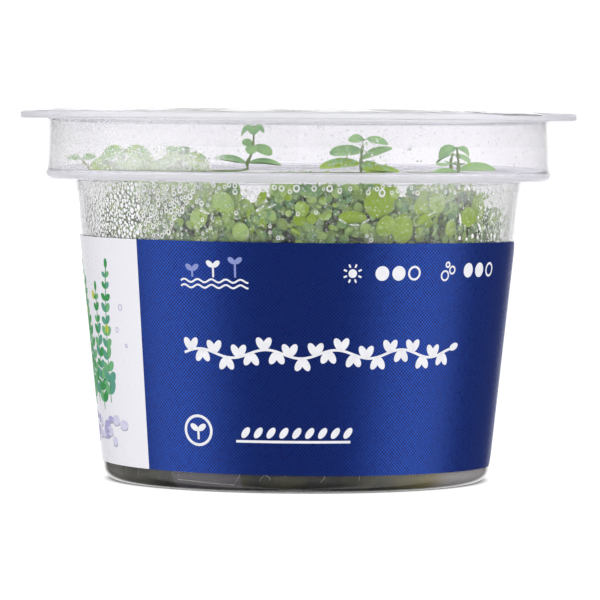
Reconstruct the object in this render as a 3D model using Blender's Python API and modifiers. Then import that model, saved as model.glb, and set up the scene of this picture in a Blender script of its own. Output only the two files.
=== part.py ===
"""Shade mudflower growing in a sealed clear plastic cup.

The cup stands on z = 0 with its axis on Z. The front of the label faces -Y.
Lengths are in metres and angles in degrees unless a name says otherwise.
"""

import math

import bmesh
import bpy
from mathutils import Matrix, Vector

# Clearances and round pieces
GAP = 0.0003
TURN_STEPS = 48
MERGE = 0.00001

# The cup, from the rim down. Radii are of the outer wall.
CUP_HEIGHT = 0.0627
FLANGE_RADIUS = 0.0475
FLANGE_THICK = 0.0011
COLLAR_RADIUS_TOP = 0.04275
COLLAR_RADIUS_FOOT = 0.04315
COLLAR_WALL = 0.0012
COLLAR_ROUND = 0.0013
LEDGE_UNDERSIDE = 0.0513
LEDGE_TOP = 0.0524
BODY_WALL = 0.0010
BODY_RADIUS_LOW = 0.03302
BODY_SLOPE = 0.1058
BASE_ROUND = 0.00225
FOOT_RADIUS = BODY_RADIUS_LOW - BASE_ROUND
FOOT_RING_WIDTH = 0.0026
FOOT_RECESS = 0.0006
FLOOR_THICK = 0.0011

# The film sealed on the flange, with its peel tab
FILM_THICK = 0.0003
FILM_RADIUS = 0.0474
TAB_HEADING = -43.0
TAB_WIDTH = 0.013
TAB_REACH = 0.0040
TAB_ROUND = 0.0025

# The label on the tapered wall. Angles are from the front, positive to the right.
LABEL_THICK = 0.00015
LABEL_FOOT = 0.0030
LABEL_HEIGHT = 0.0384
LABEL_RIGHT = 84.0
LABEL_SPAN = 330.0
LABEL_DROP_PER_DEGREE = 0.0000035
LABEL_CORNER = 0.0028
LABEL_COLUMNS = 66
LABEL_CORNER_COLUMNS = 5

# The gel and the plantlets of the mat
GEL_TOP = 0.0090
GEL_MENISCUS = 0.0008
MAT_TOP = 0.0492
MAT_ROUND = 0.0025
CORE_RADIUS = 0.0125
RING_PLANTLETS = 6
PLANTLET_STEPS = 6
PLANTLET_RISE = (0.0014, 0.0004, 0.0010, 0.0002, 0.0012, 0.0006)

# The sprigs that stand out of the mat
STEM_RADIUS = 0.0004
STEM_SMOOTH = 4
LEAF_THICK = 0.0003
LEAF_WIDTH_SHARE = 0.82
LEAF_CUP = 0.10
LEAF_POINTS = 12
LEAF_CLEAR = 0.00035

# Each sprig: its stem as points (x, y, z), and its leaves as (share of the way up the stem,
# heading, rise, length). Heading 0 is +X and 90 is +Y, away from the front.
SPRIGS = {
    "tall_sprig": (
        ((-0.0150, -0.0220, 0.0512), (-0.0092, -0.0222, 0.0526), (-0.0080, -0.0220, 0.0548),
         (-0.0077, -0.0220, 0.0578), (-0.0076, -0.0220, 0.0604)),
        ((0.50, 180, 10, 0.0055), (0.50, 0, 4, 0.0043), (0.74, -118, -38, 0.0038),
         (0.74, 58, -20, 0.0036), (0.96, 186, -38, 0.0030), (0.96, 8, -34, 0.0026)),
    ),
    "bushy_sprig": (
        ((0.0088, -0.0200, 0.0512), (0.0102, -0.0202, 0.0535), (0.0110, -0.0200, 0.0562),
         (0.0110, -0.0200, 0.0592)),
        ((0.38, 176, -8, 0.0060), (0.38, -52, -14, 0.0044), (0.66, 200, 6, 0.0056),
         (0.66, 20, -8, 0.0048), (0.95, 215, -10, 0.0034), (0.95, -18, -10, 0.0040)),
    ),
    "right_sprig": (
        ((0.0262, -0.0180, 0.0512), (0.0265, -0.0180, 0.0540), (0.0260, -0.0180, 0.0570)),
        ((0.40, 182, -4, 0.0040), (0.40, -6, 0, 0.0052), (0.95, 176, -24, 0.0031),
         (0.95, -4, -26, 0.0029)),
    ),
    "left_sprig": (
        ((-0.0288, -0.0120, 0.0512), (-0.0294, -0.0122, 0.0540), (-0.0290, -0.0120, 0.0568)),
        ((0.36, 190, 0, 0.0044), (0.36, -8, 2, 0.0044), (0.66, -92, -6, 0.0042),
         (0.66, 88, 4, 0.0040), (0.95, 176, -12, 0.0032), (0.95, -4, -12, 0.0032)),
    ),
    "mid_left_sprig": (
        ((-0.0190, -0.0140, 0.0512), (-0.0196, -0.0138, 0.0540), (-0.0192, -0.0140, 0.0566)),
        ((0.42, 184, 4, 0.0044), (0.42, -30, 2, 0.0042), (0.94, 150, -12, 0.0034),
         (0.94, -28, -12, 0.0034)),
    ),
    "edge_sprig": (
        ((-0.0342, -0.0040, 0.0512), (-0.0360, -0.0041, 0.0530), (-0.0372, -0.0040, 0.0545)),
        ((0.93, 172, 12, 0.0024), (0.93, -20, 20, 0.0026)),
    ),
    "back_left_sprig": (
        ((-0.0216, 0.0210, 0.0512), (-0.0210, 0.0214, 0.0540), (-0.0214, 0.0210, 0.0566)),
        ((0.45, 160, 4, 0.0044), (0.45, -20, 4, 0.0044), (0.94, 72, -14, 0.0034),
         (0.94, -108, -14, 0.0034)),
    ),
    "back_right_sprig": (
        ((0.0246, 0.0150, 0.0512), (0.0240, 0.0154, 0.0540), (0.0244, 0.0150, 0.0562)),
        ((0.45, 70, 4, 0.0042), (0.45, -112, 4, 0.0042), (0.94, 160, -14, 0.0034),
         (0.94, -18, -14, 0.0034)),
    ),
}

# Colours as linear red, green and blue
CLEAR_PLASTIC = (0.86, 0.86, 0.92)
FILM_COLOUR = (0.88, 0.88, 0.93)
LABEL_BLUE = (0.028, 0.052, 0.26)
GEL_COLOUR = (0.23, 0.24, 0.16)
MAT_GREEN = (0.16, 0.27, 0.06)
LEAF_GREEN = (0.27, 0.44, 0.09)
STEM_GREEN = (0.36, 0.50, 0.18)


def empty_scene():
    """Remove every object, so the script can be run again in the same file."""
    for old in list(bpy.data.objects):
        bpy.data.objects.remove(old, do_unlink=True)


def new_collection(name):
    """A collection of this name in the scene."""
    group = bpy.data.collections.new(name)
    bpy.context.scene.collection.children.link(group)
    return group


def material(name, colour, roughness, transmission=0.0):
    """A plain Principled material."""
    mat = bpy.data.materials.new(name)
    mat.use_nodes = True
    shader = mat.node_tree.nodes["Principled BSDF"]
    shader.inputs["Base Color"].default_value = (*colour, 1.0)
    shader.inputs["Roughness"].default_value = roughness
    shader.inputs["Metallic"].default_value = 0.0
    shader.inputs["Transmission Weight"].default_value = transmission
    return mat


def place(name, data, group, mat):
    """Make an object of this data in the collection, with its material."""
    piece = bpy.data.objects.new(name, data)
    group.objects.link(piece)
    data.materials.append(mat)
    return piece


def arc(centre, radius, start, end, steps):
    """Points (radius, height) on an arc in a turned profile, from start to end degrees."""
    points = []
    for step in range(steps + 1):
        angle = math.radians(start + (end - start) * step / steps)
        points.append((centre[0] + radius * math.cos(angle), centre[1] + radius * math.sin(angle)))
    return points


def turned(name, profile, group, mat):
    """Turn a profile of (radius, height) points about Z."""
    mesh = bpy.data.meshes.new(name)
    vertices = [(radius, 0.0, height) for radius, height in profile]
    edges = [(index, index + 1) for index in range(len(profile) - 1)]
    mesh.from_pydata(vertices, edges, [])
    piece = place(name, mesh, group, mat)
    screw = piece.modifiers.new("turn", "SCREW")
    screw.axis = "Z"
    screw.steps = TURN_STEPS
    screw.render_steps = TURN_STEPS
    screw.use_merge_vertices = True
    screw.merge_threshold = MERGE
    screw.use_smooth_shade = True
    return piece


def body_radius(height, wall=0.0):
    """Radius of the tapered body at a height, less a wall."""
    return BODY_RADIUS_LOW + BODY_SLOPE * (height - BASE_ROUND) - wall


def make_cup(group, mat):
    """The moulded cup: up its inside, over the flange and down its outside to the foot."""
    inner_round = BASE_ROUND
    floor_edge = body_radius(FLOOR_THICK + inner_round, BODY_WALL)
    ledge_inner = body_radius(LEDGE_TOP, BODY_WALL)
    collar_inner_foot = COLLAR_RADIUS_FOOT - COLLAR_WALL
    collar_inner_top = COLLAR_RADIUS_TOP - COLLAR_WALL
    inner_collar_round = COLLAR_ROUND / 2
    flange_underside = CUP_HEIGHT - FLANGE_THICK
    edge_round = FLANGE_THICK / 4
    profile = [(0.0, FLOOR_THICK)]
    profile += arc((floor_edge - inner_round, FLOOR_THICK + inner_round), inner_round, -90, 0, 4)
    profile += [(body_radius((FLOOR_THICK + LEDGE_TOP) / 2, BODY_WALL), (FLOOR_THICK + LEDGE_TOP) / 2)]
    profile += [(ledge_inner, LEDGE_TOP)]
    profile += arc((collar_inner_foot - inner_collar_round, LEDGE_TOP + inner_collar_round),
                   inner_collar_round, -90, 0, 2)
    profile += arc((collar_inner_top + edge_round, CUP_HEIGHT - edge_round), edge_round, 180, 90, 1)
    profile += arc((FLANGE_RADIUS - edge_round, CUP_HEIGHT - edge_round), edge_round, 90, 0, 1)
    profile += arc((FLANGE_RADIUS - edge_round, flange_underside + edge_round), edge_round, 0, -90, 1)
    profile += [(COLLAR_RADIUS_TOP, flange_underside)]
    profile += arc((COLLAR_RADIUS_FOOT - COLLAR_ROUND, LEDGE_UNDERSIDE + COLLAR_ROUND),
                   COLLAR_ROUND, 0, -90, 3)
    profile += [(body_radius(LEDGE_UNDERSIDE), LEDGE_UNDERSIDE)]
    profile += [(body_radius((LEDGE_UNDERSIDE + BASE_ROUND) / 2), (LEDGE_UNDERSIDE + BASE_ROUND) / 2)]
    profile += arc((FOOT_RADIUS, BASE_ROUND), BASE_ROUND, 0, -90, 4)
    profile += [(FOOT_RADIUS - FOOT_RING_WIDTH, 0.0)]
    profile += [(FOOT_RADIUS - FOOT_RING_WIDTH - FOOT_RECESS, FOOT_RECESS)]
    profile += [(0.0, FOOT_RECESS)]
    return turned("cup", profile, group, mat)


def make_film(group, mat):
    """The lidding film: a disc with a rounded peel tab, lying on the flange."""
    half = math.degrees(math.asin(TAB_WIDTH / 2 / FILM_RADIUS))
    outline = []
    for step in range(TURN_STEPS):
        angle = math.radians(TAB_HEADING + half + (360.0 - 2 * half) * step / (TURN_STEPS - 1))
        outline.append(Vector((FILM_RADIUS * math.cos(angle), FILM_RADIUS * math.sin(angle))))
    along = Vector((math.cos(math.radians(TAB_HEADING)), math.sin(math.radians(TAB_HEADING))))
    across = Vector((-along.y, along.x))
    reach = FILM_RADIUS + TAB_REACH - TAB_ROUND
    for side in (-1, 1):
        centre = along * reach + across * side * (TAB_WIDTH / 2 - TAB_ROUND)
        for step in range(4):
            turn = math.radians(90.0 * step / 3)
            if side < 0:
                outward = across * -math.cos(turn) + along * math.sin(turn)
            else:
                outward = along * math.cos(turn) + across * math.sin(turn)
            outline.append(centre + outward * TAB_ROUND)
    curve = bpy.data.curves.new("lid_film", "CURVE")
    curve.dimensions = "2D"
    curve.fill_mode = "BOTH"
    curve.extrude = FILM_THICK / 2
    spline = curve.splines.new("POLY")
    spline.points.add(len(outline) - 1)
    for point, corner in zip(spline.points, outline):
        point.co = (corner.x, corner.y, 0.0, 1.0)
    spline.use_cyclic_u = True
    film = place("lid_film", curve, group, mat)
    film.location.z = CUP_HEIGHT + GAP + FILM_THICK / 2
    return film


def label_columns():
    """Angles of the label's columns, close together at its rounded ends."""
    mid_radius = body_radius(LABEL_FOOT + LABEL_HEIGHT / 2)
    corner = math.degrees(LABEL_CORNER / mid_radius)
    left = LABEL_RIGHT - LABEL_SPAN
    ends = [corner * (1 - math.cos(math.radians(90 * step / LABEL_CORNER_COLUMNS)))
            for step in range(LABEL_CORNER_COLUMNS)]
    middle = [corner + (LABEL_SPAN - 2 * corner) * step / LABEL_COLUMNS
              for step in range(LABEL_COLUMNS + 1)]
    return [left + angle for angle in ends + middle] + [LABEL_RIGHT - angle for angle in reversed(ends)]


def make_label(group, mat):
    """The label: a thin skin bent round the taper just off the wall, with rounded corners."""
    columns = label_columns()
    mid_radius = body_radius(LABEL_FOOT + LABEL_HEIGHT / 2)
    left = LABEL_RIGHT - LABEL_SPAN
    net = bmesh.new()
    bmesh.ops.create_grid(net, x_segments=len(columns) - 1, y_segments=1, size=1.0)
    for vertex in net.verts:
        column = round((vertex.co.x + 1) / 2 * (len(columns) - 1))
        angle = columns[column]
        from_end = math.radians(min(angle - left, LABEL_RIGHT - angle)) * mid_radius
        cut = 0.0
        if from_end < LABEL_CORNER:
            cut = LABEL_CORNER - math.sqrt(max(0.0, LABEL_CORNER ** 2 - (LABEL_CORNER - from_end) ** 2))
        height = LABEL_FOOT - LABEL_DROP_PER_DEGREE * angle
        height += LABEL_HEIGHT - cut if vertex.co.y > 0 else cut
        radius = body_radius(height) + GAP
        turn = math.radians(angle)
        vertex.co = (radius * math.sin(turn), -radius * math.cos(turn), height)
    mesh = bpy.data.meshes.new("label")
    net.to_mesh(mesh)
    net.free()
    label = place("label", mesh, group, mat)
    skin = label.modifiers.new("thickness", "SOLIDIFY")
    skin.thickness = LABEL_THICK
    skin.offset = 1.0
    return label


def make_gel(group, mat):
    """The gel that fills the bottom of the cup, with its edge drawn up the wall."""
    bottom = FLOOR_THICK + GAP
    wall = BODY_WALL + GAP
    bottom_round = BASE_ROUND
    edge = body_radius(bottom + bottom_round, wall)
    profile = [(0.0, GEL_TOP), (body_radius(GEL_TOP, wall) - 3 * GEL_MENISCUS, GEL_TOP)]
    profile += [(body_radius(GEL_TOP, wall) - GEL_MENISCUS, GEL_TOP + GEL_MENISCUS / 3)]
    profile += [(body_radius(GEL_TOP + GEL_MENISCUS, wall), GEL_TOP + GEL_MENISCUS)]
    profile += arc((edge - bottom_round, bottom + bottom_round), bottom_round, 0, -90, 4)
    profile += [(0.0, bottom)]
    return turned("gel", profile, group, mat)


def make_core_plantlet(group, mat):
    """The plantlet in the middle of the mat, as a plain solid of its outer shape."""
    bottom = GEL_TOP + GAP
    top = MAT_TOP + PLANTLET_RISE[0]
    profile = [(0.0, top)]
    profile += arc((CORE_RADIUS - MAT_ROUND, top - MAT_ROUND), MAT_ROUND, 90, 0, 3)
    profile += [(CORE_RADIUS, bottom), (0.0, bottom)]
    return turned("plantlet_core", profile, group, mat)


def make_ring_plantlet(number, group, mat):
    """One plantlet of the ring round the middle one: a wedge of the mat between gaps."""
    bottom = GEL_TOP + GEL_MENISCUS + GAP
    top = MAT_TOP + PLANTLET_RISE[number]
    inner = CORE_RADIUS + GAP
    wall = BODY_WALL + 2 * GAP
    outer_top = body_radius(top, wall) - MAT_ROUND
    section = [(inner, bottom), (body_radius(bottom, wall), bottom)]
    section += [(body_radius(top - MAT_ROUND, wall), top - MAT_ROUND)]
    section += arc((outer_top, top - MAT_ROUND), MAT_ROUND, 45, 90, 1)
    section += [(inner + MAT_ROUND, top), (inner, top - MAT_ROUND)]
    pitch = 2 * math.pi / RING_PLANTLETS
    side_gap = GAP / inner / 2
    start = number * pitch + side_gap
    wedge = bmesh.new()
    corners = [wedge.verts.new((radius, 0.0, height)) for radius, height in section]
    face = wedge.faces.new(corners)
    bmesh.ops.rotate(wedge, verts=corners, matrix=Matrix.Rotation(start, 3, "Z"))
    bmesh.ops.spin(wedge, geom=[face], axis=(0, 0, 1), cent=(0, 0, 0),
                   angle=pitch - 2 * side_gap, steps=PLANTLET_STEPS)
    bmesh.ops.recalc_face_normals(wedge, faces=wedge.faces)
    name = f"plantlet_{number + 1}"
    mesh = bpy.data.meshes.new(name)
    wedge.to_mesh(mesh)
    wedge.free()
    return place(name, mesh, group, mat)


def smooth_points(points):
    """Points along a smooth curve through the stem's own points."""
    smooth = []
    last = len(points) - 1
    for index in range(last):
        before = Vector(points[max(index - 1, 0)])
        start = Vector(points[index])
        end = Vector(points[index + 1])
        after = Vector(points[min(index + 2, last)])
        for step in range(STEM_SMOOTH):
            t = step / STEM_SMOOTH
            smooth.append(0.5 * (2 * start + (end - before) * t
                                 + (2 * before - 5 * start + 4 * end - after) * t ** 2
                                 + (3 * start - before - 3 * end + after) * t ** 3))
    smooth.append(Vector(points[last]))
    return smooth


def make_stem(name, points, group, mat):
    """A sprig's stem: a thin round tube through its points."""
    curve = bpy.data.curves.new(name, "CURVE")
    curve.dimensions = "3D"
    curve.bevel_depth = STEM_RADIUS
    curve.bevel_resolution = 1
    curve.use_fill_caps = True
    spline = curve.splines.new("POLY")
    route = smooth_points(points)
    spline.points.add(len(route) - 1)
    for point, place_on in zip(spline.points, route):
        point.co = (*place_on, 1.0)
    return place(name, curve, group, mat)


def leaf_mesh(name, length):
    """An open leaf from its foot at the origin along +X: round, blunt and slightly cupped."""
    blade = bmesh.new()
    bmesh.ops.create_circle(blade, cap_ends=True, cap_tris=True, segments=LEAF_POINTS, radius=1.0)
    for vertex in blade.verts:
        along = (vertex.co.x + 1) / 2
        across = vertex.co.y * LEAF_WIDTH_SHARE * (0.72 + 0.28 * along)
        lift = LEAF_CUP * (vertex.co.x ** 2 + vertex.co.y ** 2)
        vertex.co = (along * length, across * length / 2, lift * length)
    mesh = bpy.data.meshes.new(name)
    blade.to_mesh(mesh)
    blade.free()
    return mesh


def make_leaf(name, stem_points, share, heading, rise, length, group, mat):
    """One leaf, standing just off its stem at a share of the way up."""
    route = smooth_points(stem_points)
    along_route = share * (len(route) - 1)
    low = min(int(along_route), len(route) - 2)
    foot = route[low].lerp(route[low + 1], along_route - low)
    leaf = place(name, leaf_mesh(name, length), group, mat)
    turn = Matrix.Rotation(math.radians(heading), 4, "Z") @ Matrix.Rotation(math.radians(-rise), 4, "Y")
    outward = turn @ Vector((STEM_RADIUS + LEAF_CLEAR, 0.0, 0.0))
    leaf.matrix_world = Matrix.Translation(foot + outward) @ turn
    skin = leaf.modifiers.new("thickness", "SOLIDIFY")
    skin.thickness = LEAF_THICK
    skin.offset = 0.0
    return leaf


def make_sprig(name, stem_points, leaves, group, stem_mat, leaf_mat):
    """A stem and its leaves, each a piece of its own."""
    make_stem(f"{name}_stem", stem_points, group, stem_mat)
    for number, (share, heading, rise, length) in enumerate(leaves, start=1):
        make_leaf(f"{name}_leaf_{number}", stem_points, share, heading, rise, length, group, leaf_mat)


empty_scene()
part = new_collection("shade_mudflower_cup")
plastic = material("clear_plastic", CLEAR_PLASTIC, 0.2, transmission=1.0)
film_plastic = material("lid_film", FILM_COLOUR, 0.15, transmission=1.0)
print_face = material("printed_label", LABEL_BLUE, 0.45)
set_gel = material("gel", GEL_COLOUR, 0.15, transmission=0.6)
mat_leaves = material("mat_leaves", MAT_GREEN, 0.5)
sprig_leaf = material("leaf", LEAF_GREEN, 0.45)
sprig_stem = material("stem", STEM_GREEN, 0.45)

make_cup(part, plastic)
make_film(part, film_plastic)
make_label(part, print_face)
make_gel(part, set_gel)
make_core_plantlet(part, mat_leaves)
for plantlet in range(RING_PLANTLETS):
    make_ring_plantlet(plantlet, part, mat_leaves)
for sprig, (stem, leaves) in SPRIGS.items():
    make_sprig(sprig, stem, leaves, part, sprig_stem, sprig_leaf)
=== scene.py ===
import math

import bpy
import numpy as np
from mathutils import Matrix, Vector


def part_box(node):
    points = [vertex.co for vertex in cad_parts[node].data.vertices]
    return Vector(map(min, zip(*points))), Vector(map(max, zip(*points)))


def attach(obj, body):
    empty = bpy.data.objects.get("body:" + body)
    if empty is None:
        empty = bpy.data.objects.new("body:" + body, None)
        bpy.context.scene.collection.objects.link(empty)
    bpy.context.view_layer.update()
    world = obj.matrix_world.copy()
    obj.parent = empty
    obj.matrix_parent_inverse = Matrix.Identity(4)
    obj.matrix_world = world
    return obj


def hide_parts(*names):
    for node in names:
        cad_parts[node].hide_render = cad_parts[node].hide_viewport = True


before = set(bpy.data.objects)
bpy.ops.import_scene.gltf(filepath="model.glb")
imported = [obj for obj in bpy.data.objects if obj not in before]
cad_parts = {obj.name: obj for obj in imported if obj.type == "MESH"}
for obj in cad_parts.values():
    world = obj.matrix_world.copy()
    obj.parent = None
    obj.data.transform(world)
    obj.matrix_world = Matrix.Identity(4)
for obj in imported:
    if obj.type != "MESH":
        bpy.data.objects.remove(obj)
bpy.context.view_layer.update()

dice = np.random.default_rng(20251)

# The cup
# One clear injection-moulded polypropylene cup: a tapered body, a ledge, a wide collar and a flat rim
# flange in one piece. It is turned here from one profile, with the small rounds that the mould leaves at
# every corner, and it is hazy where the plastic is thick.
CUP_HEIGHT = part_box("cup")[1].z
FLANGE_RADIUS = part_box("cup")[1].x
FLANGE_THICK = 0.0011
COLLAR_RADIUS_TOP = 0.04275
COLLAR_RADIUS_FOOT = 0.04315
COLLAR_WALL = 0.0012
COLLAR_ROUND = 0.0013
LEDGE_UNDERSIDE = 0.0513
LEDGE_TOP = 0.0524
BODY_WALL = 0.0010
BODY_RADIUS_LOW = 0.03302
BODY_SLOPE = 0.1058
BASE_ROUND = 0.00225
FOOT_RADIUS = BODY_RADIUS_LOW - BASE_ROUND
FOOT_RING_WIDTH = 0.0026
FOOT_RECESS = 0.0006
FLOOR_THICK = 0.0011
CORNER_ROUND = 0.0003
TAPER_DEGREES = 6
WALL_STEPS = 10
ROUND_STEPS = 10
LEDGE_STEPS = 6
CORNER_STEPS = 5
TURN_STEPS = 160


def body_radius(height, wall=0.0):
    """Radius of the tapered body at a height, less a wall."""
    return BODY_RADIUS_LOW + BODY_SLOPE * (height - BASE_ROUND) - wall


def collar_radius(height, wall=0.0):
    """Radius of the collar at a height, less a wall."""
    up = (height - LEDGE_TOP) / (CUP_HEIGHT - LEDGE_TOP)
    return COLLAR_RADIUS_FOOT + up * (COLLAR_RADIUS_TOP - COLLAR_RADIUS_FOOT) - wall


def arc(centre, radius, start, end, steps):
    """Points (radius, height) on an arc of a turned profile, from start to end degrees."""
    turns = np.radians(np.linspace(start, end, steps + 1))
    return [(centre[0] + radius * math.cos(turn), centre[1] + radius * math.sin(turn)) for turn in turns]


def new_piece(name, vertices, faces, material):
    """A smooth-shaded mesh piece of this name."""
    mesh = bpy.data.meshes.new(name)
    mesh.from_pydata(vertices, [], faces)
    mesh.validate()
    mesh.shade_smooth()
    mesh.materials.append(material)
    piece = bpy.data.objects.new(name, mesh)
    bpy.context.scene.collection.objects.link(piece)
    return piece


def turned(name, profile, material, steps=TURN_STEPS):
    """A piece turned about Z from (radius, height) points that start and end on the axis."""
    rings = profile[1:-1]
    turns = np.linspace(0.0, 2 * math.pi, steps, endpoint=False)
    vertices = [(radius * math.cos(turn), radius * math.sin(turn), height)
                for radius, height in rings for turn in turns]
    faces = []
    for ring in range(len(rings) - 1):
        for step in range(steps):
            here, beside = ring * steps + step, ring * steps + (step + 1) % steps
            faces.append((here, beside, beside + steps, here + steps))
    for pole, ring in ((profile[0], 0), (profile[-1], len(rings) - 1)):
        vertices.append((0.0, 0.0, pole[1]))
        for step in range(steps):
            corners = (ring * steps + step, ring * steps + (step + 1) % steps, len(vertices) - 1)
            faces.append(corners[::-1] if ring == 0 else corners)
    return new_piece(name, vertices, faces, material)


def new_material(name, base, roughness, **sockets):
    """A Principled material with plain values on its own sockets, and its tree and shader."""
    material = bpy.data.materials.new(name)
    material.use_nodes = True
    shader = material.node_tree.nodes["Principled BSDF"]
    shader.inputs["Base Color"].default_value = (*base, 1.0)
    shader.inputs["Roughness"].default_value = roughness
    for socket, value in sockets.items():
        shader.inputs[socket.replace("_", " ")].default_value = value
    return material, material.node_tree, shader


def link(source, target):
    """Link two sockets of one node tree."""
    source.id_data.links.new(source, target)


def set_socket(socket, value):
    """Link a socket to another one, or give it a plain value."""
    if isinstance(value, bpy.types.NodeSocket):
        link(value, socket)
    else:
        socket.default_value = value


def calculate(operation, *values):
    """A Math node of sockets or numbers, in the tree of its sockets."""
    tree = next(value.id_data for value in values if isinstance(value, bpy.types.NodeSocket))
    node = tree.nodes.new("ShaderNodeMath")
    node.operation = operation
    for slot, value in enumerate(values):
        set_socket(node.inputs[slot], value)
    return node.outputs[0]


def blend_colours(factor, first, second):
    """A colour Mix node of sockets or colours."""
    node = factor.id_data.nodes.new("ShaderNodeMix")
    node.data_type = "RGBA"
    link(factor, node.inputs["Factor"])
    for slot, value in ((6, first), (7, second)):
        plain = not isinstance(value, bpy.types.NodeSocket)
        set_socket(node.inputs[slot], (*value, 1.0) if plain else value)
    return node.outputs[2]


def ramp(source, low, high, least=0.0, most=1.0):
    """Map a value from low..high to least..most, smoothly and clamped."""
    node = source.id_data.nodes.new("ShaderNodeMapRange")
    node.interpolation_type = "SMOOTHSTEP"
    link(source, node.inputs["Value"])
    for socket, value in (("From Min", low), ("From Max", high), ("To Min", least), ("To Max", most)):
        node.inputs[socket].default_value = value
    return node.outputs[0]


def bump(height, strength, distance, shader):
    """Bump from a height into the shader's normal."""
    node = height.id_data.nodes.new("ShaderNodeBump")
    node.inputs["Strength"].default_value = strength
    node.inputs["Distance"].default_value = distance
    link(height, node.inputs["Height"])
    link(node.outputs[0], shader.inputs["Normal"])


def new_group(name, inputs, outputs):
    """A shader node group with named sockets, its input node and its output node."""
    group = bpy.data.node_groups.new(name, "ShaderNodeTree")
    for socket, kind, value in inputs:
        made = group.interface.new_socket(name=socket, in_out="INPUT", socket_type=f"NodeSocket{kind}")
        made.default_value = value
    for socket, kind in outputs:
        group.interface.new_socket(name=socket, in_out="OUTPUT", socket_type=f"NodeSocket{kind}")
    return group, group.nodes.new("NodeGroupInput"), group.nodes.new("NodeGroupOutput")


def place_group(tree, group, **values):
    """One use of a node group in a material, with its own values."""
    node = tree.nodes.new("ShaderNodeGroup")
    node.node_tree = group
    for socket, value in values.items():
        node.inputs[socket].default_value = value
    return node


cloudy, cloudy_in, cloudy_out = new_group(
    "cloudy_patches",
    (("Scale", "Float", 100.0), ("Detail", "Float", 2.0), ("Stretch", "Vector", (1.0, 1.0, 1.0)),
     ("Low", "Float", 0.3), ("High", "Float", 0.7), ("Least", "Float", 0.0), ("Most", "Float", 1.0)),
    (("Value", "Float"),))
where = cloudy.nodes.new("ShaderNodeTexCoord")
stretched = cloudy.nodes.new("ShaderNodeVectorMath")
stretched.operation = "MULTIPLY"
link(where.outputs["Object"], stretched.inputs[0])
link(cloudy_in.outputs["Stretch"], stretched.inputs[1])
waves = cloudy.nodes.new("ShaderNodeTexNoise")
link(stretched.outputs[0], waves.inputs["Vector"])
link(cloudy_in.outputs["Scale"], waves.inputs["Scale"])
link(cloudy_in.outputs["Detail"], waves.inputs["Detail"])
spread = cloudy.nodes.new("ShaderNodeMapRange")
spread.interpolation_type = "SMOOTHSTEP"
link(waves.outputs["Fac"], spread.inputs["Value"])
for outer, inner in (("Low", "From Min"), ("High", "From Max"), ("Least", "To Min"), ("Most", "To Max")):
    link(cloudy_in.outputs[outer], spread.inputs[inner])
link(spread.outputs[0], cloudy_out.inputs["Value"])


def clouds(tree, scale, detail=2.0, low=0.3, high=0.7, least=0.0, most=1.0, stretch=(1.0, 1.0, 1.0)):
    """Cloudy patches between two values, their scale in waves per metre."""
    return place_group(tree, cloudy, Scale=scale, Detail=detail, Stretch=stretch, Low=low, High=high,
                       Least=least, Most=most).outputs["Value"]


PLASTIC_TINT = (0.975, 0.962, 0.995)
PLASTIC_IOR = 1.49
PLASTIC_CLEAR = 0.99
PLASTIC_ROUGH = (0.01, 0.05)
THICK_TINT = (0.94, 0.93, 0.985)
THICK_CLEAR = 0.56
THICK_ROUGH = (0.34, 0.50)
FLOW_MARKS = (90.0, 4.0, 0.35, 0.75)
WALL_RIPPLE = {"scale": 45.0, "detail": 1.0, "stretch": (1.0, 1.0, 0.25)}
WALL_RIPPLE_STRENGTH = 0.08
WALL_RIPPLE_DEPTH = 0.0005


def polypropylene(name, tint, clear, rough):
    """The cup's plastic, with faint flow marks in its gloss and a soft ripple in its wall."""
    material, tree, shader = new_material(name, tint, rough[0], IOR=PLASTIC_IOR, Transmission_Weight=clear)
    link(clouds(tree, *FLOW_MARKS, *rough), shader.inputs["Roughness"])
    bump(clouds(tree, **WALL_RIPPLE), WALL_RIPPLE_STRENGTH, WALL_RIPPLE_DEPTH, shader)
    return material


plastic = polypropylene("clear_polypropylene", PLASTIC_TINT, PLASTIC_CLEAR, PLASTIC_ROUGH)
thick = polypropylene("hazy_polypropylene", THICK_TINT, THICK_CLEAR, THICK_ROUGH)

inner_foot = body_radius(FLOOR_THICK + BASE_ROUND, BODY_WALL)
collar_inner_foot = COLLAR_RADIUS_FOOT - COLLAR_WALL
collar_inner_top = COLLAR_RADIUS_TOP - COLLAR_WALL
flange_underside = CUP_HEIGHT - FLANGE_THICK
cup_profile = [(0.0, FLOOR_THICK), (inner_foot / 2, FLOOR_THICK)]
cup_profile += arc((inner_foot - BASE_ROUND, FLOOR_THICK + BASE_ROUND),
                   BASE_ROUND, -90, -TAPER_DEGREES, ROUND_STEPS)
for share in np.linspace(0.1, 0.95, WALL_STEPS):
    height = FLOOR_THICK + BASE_ROUND + share * (LEDGE_TOP - FLOOR_THICK - BASE_ROUND)
    cup_profile.append((body_radius(height, BODY_WALL), height))
cup_profile += arc((body_radius(LEDGE_TOP, BODY_WALL) + CORNER_ROUND, LEDGE_TOP - CORNER_ROUND),
                   CORNER_ROUND, 180 - TAPER_DEGREES, 90, CORNER_STEPS)
cup_profile += arc((collar_inner_foot - COLLAR_ROUND / 2, LEDGE_TOP + COLLAR_ROUND / 2),
                   COLLAR_ROUND / 2, -90, 0, LEDGE_STEPS)
cup_profile += [((collar_inner_foot + collar_inner_top) / 2, (LEDGE_TOP + CUP_HEIGHT) / 2)]
for radius, height, start, end in (
        (collar_inner_top + CORNER_ROUND, CUP_HEIGHT - CORNER_ROUND, 180, 90),
        (FLANGE_RADIUS - CORNER_ROUND, CUP_HEIGHT - CORNER_ROUND, 90, 0),
        (FLANGE_RADIUS - CORNER_ROUND, flange_underside + CORNER_ROUND, 0, -90),
        (COLLAR_RADIUS_TOP + CORNER_ROUND, flange_underside - CORNER_ROUND, 90, 180)):
    cup_profile += arc((radius, height), CORNER_ROUND, start, end, CORNER_STEPS)
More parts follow.
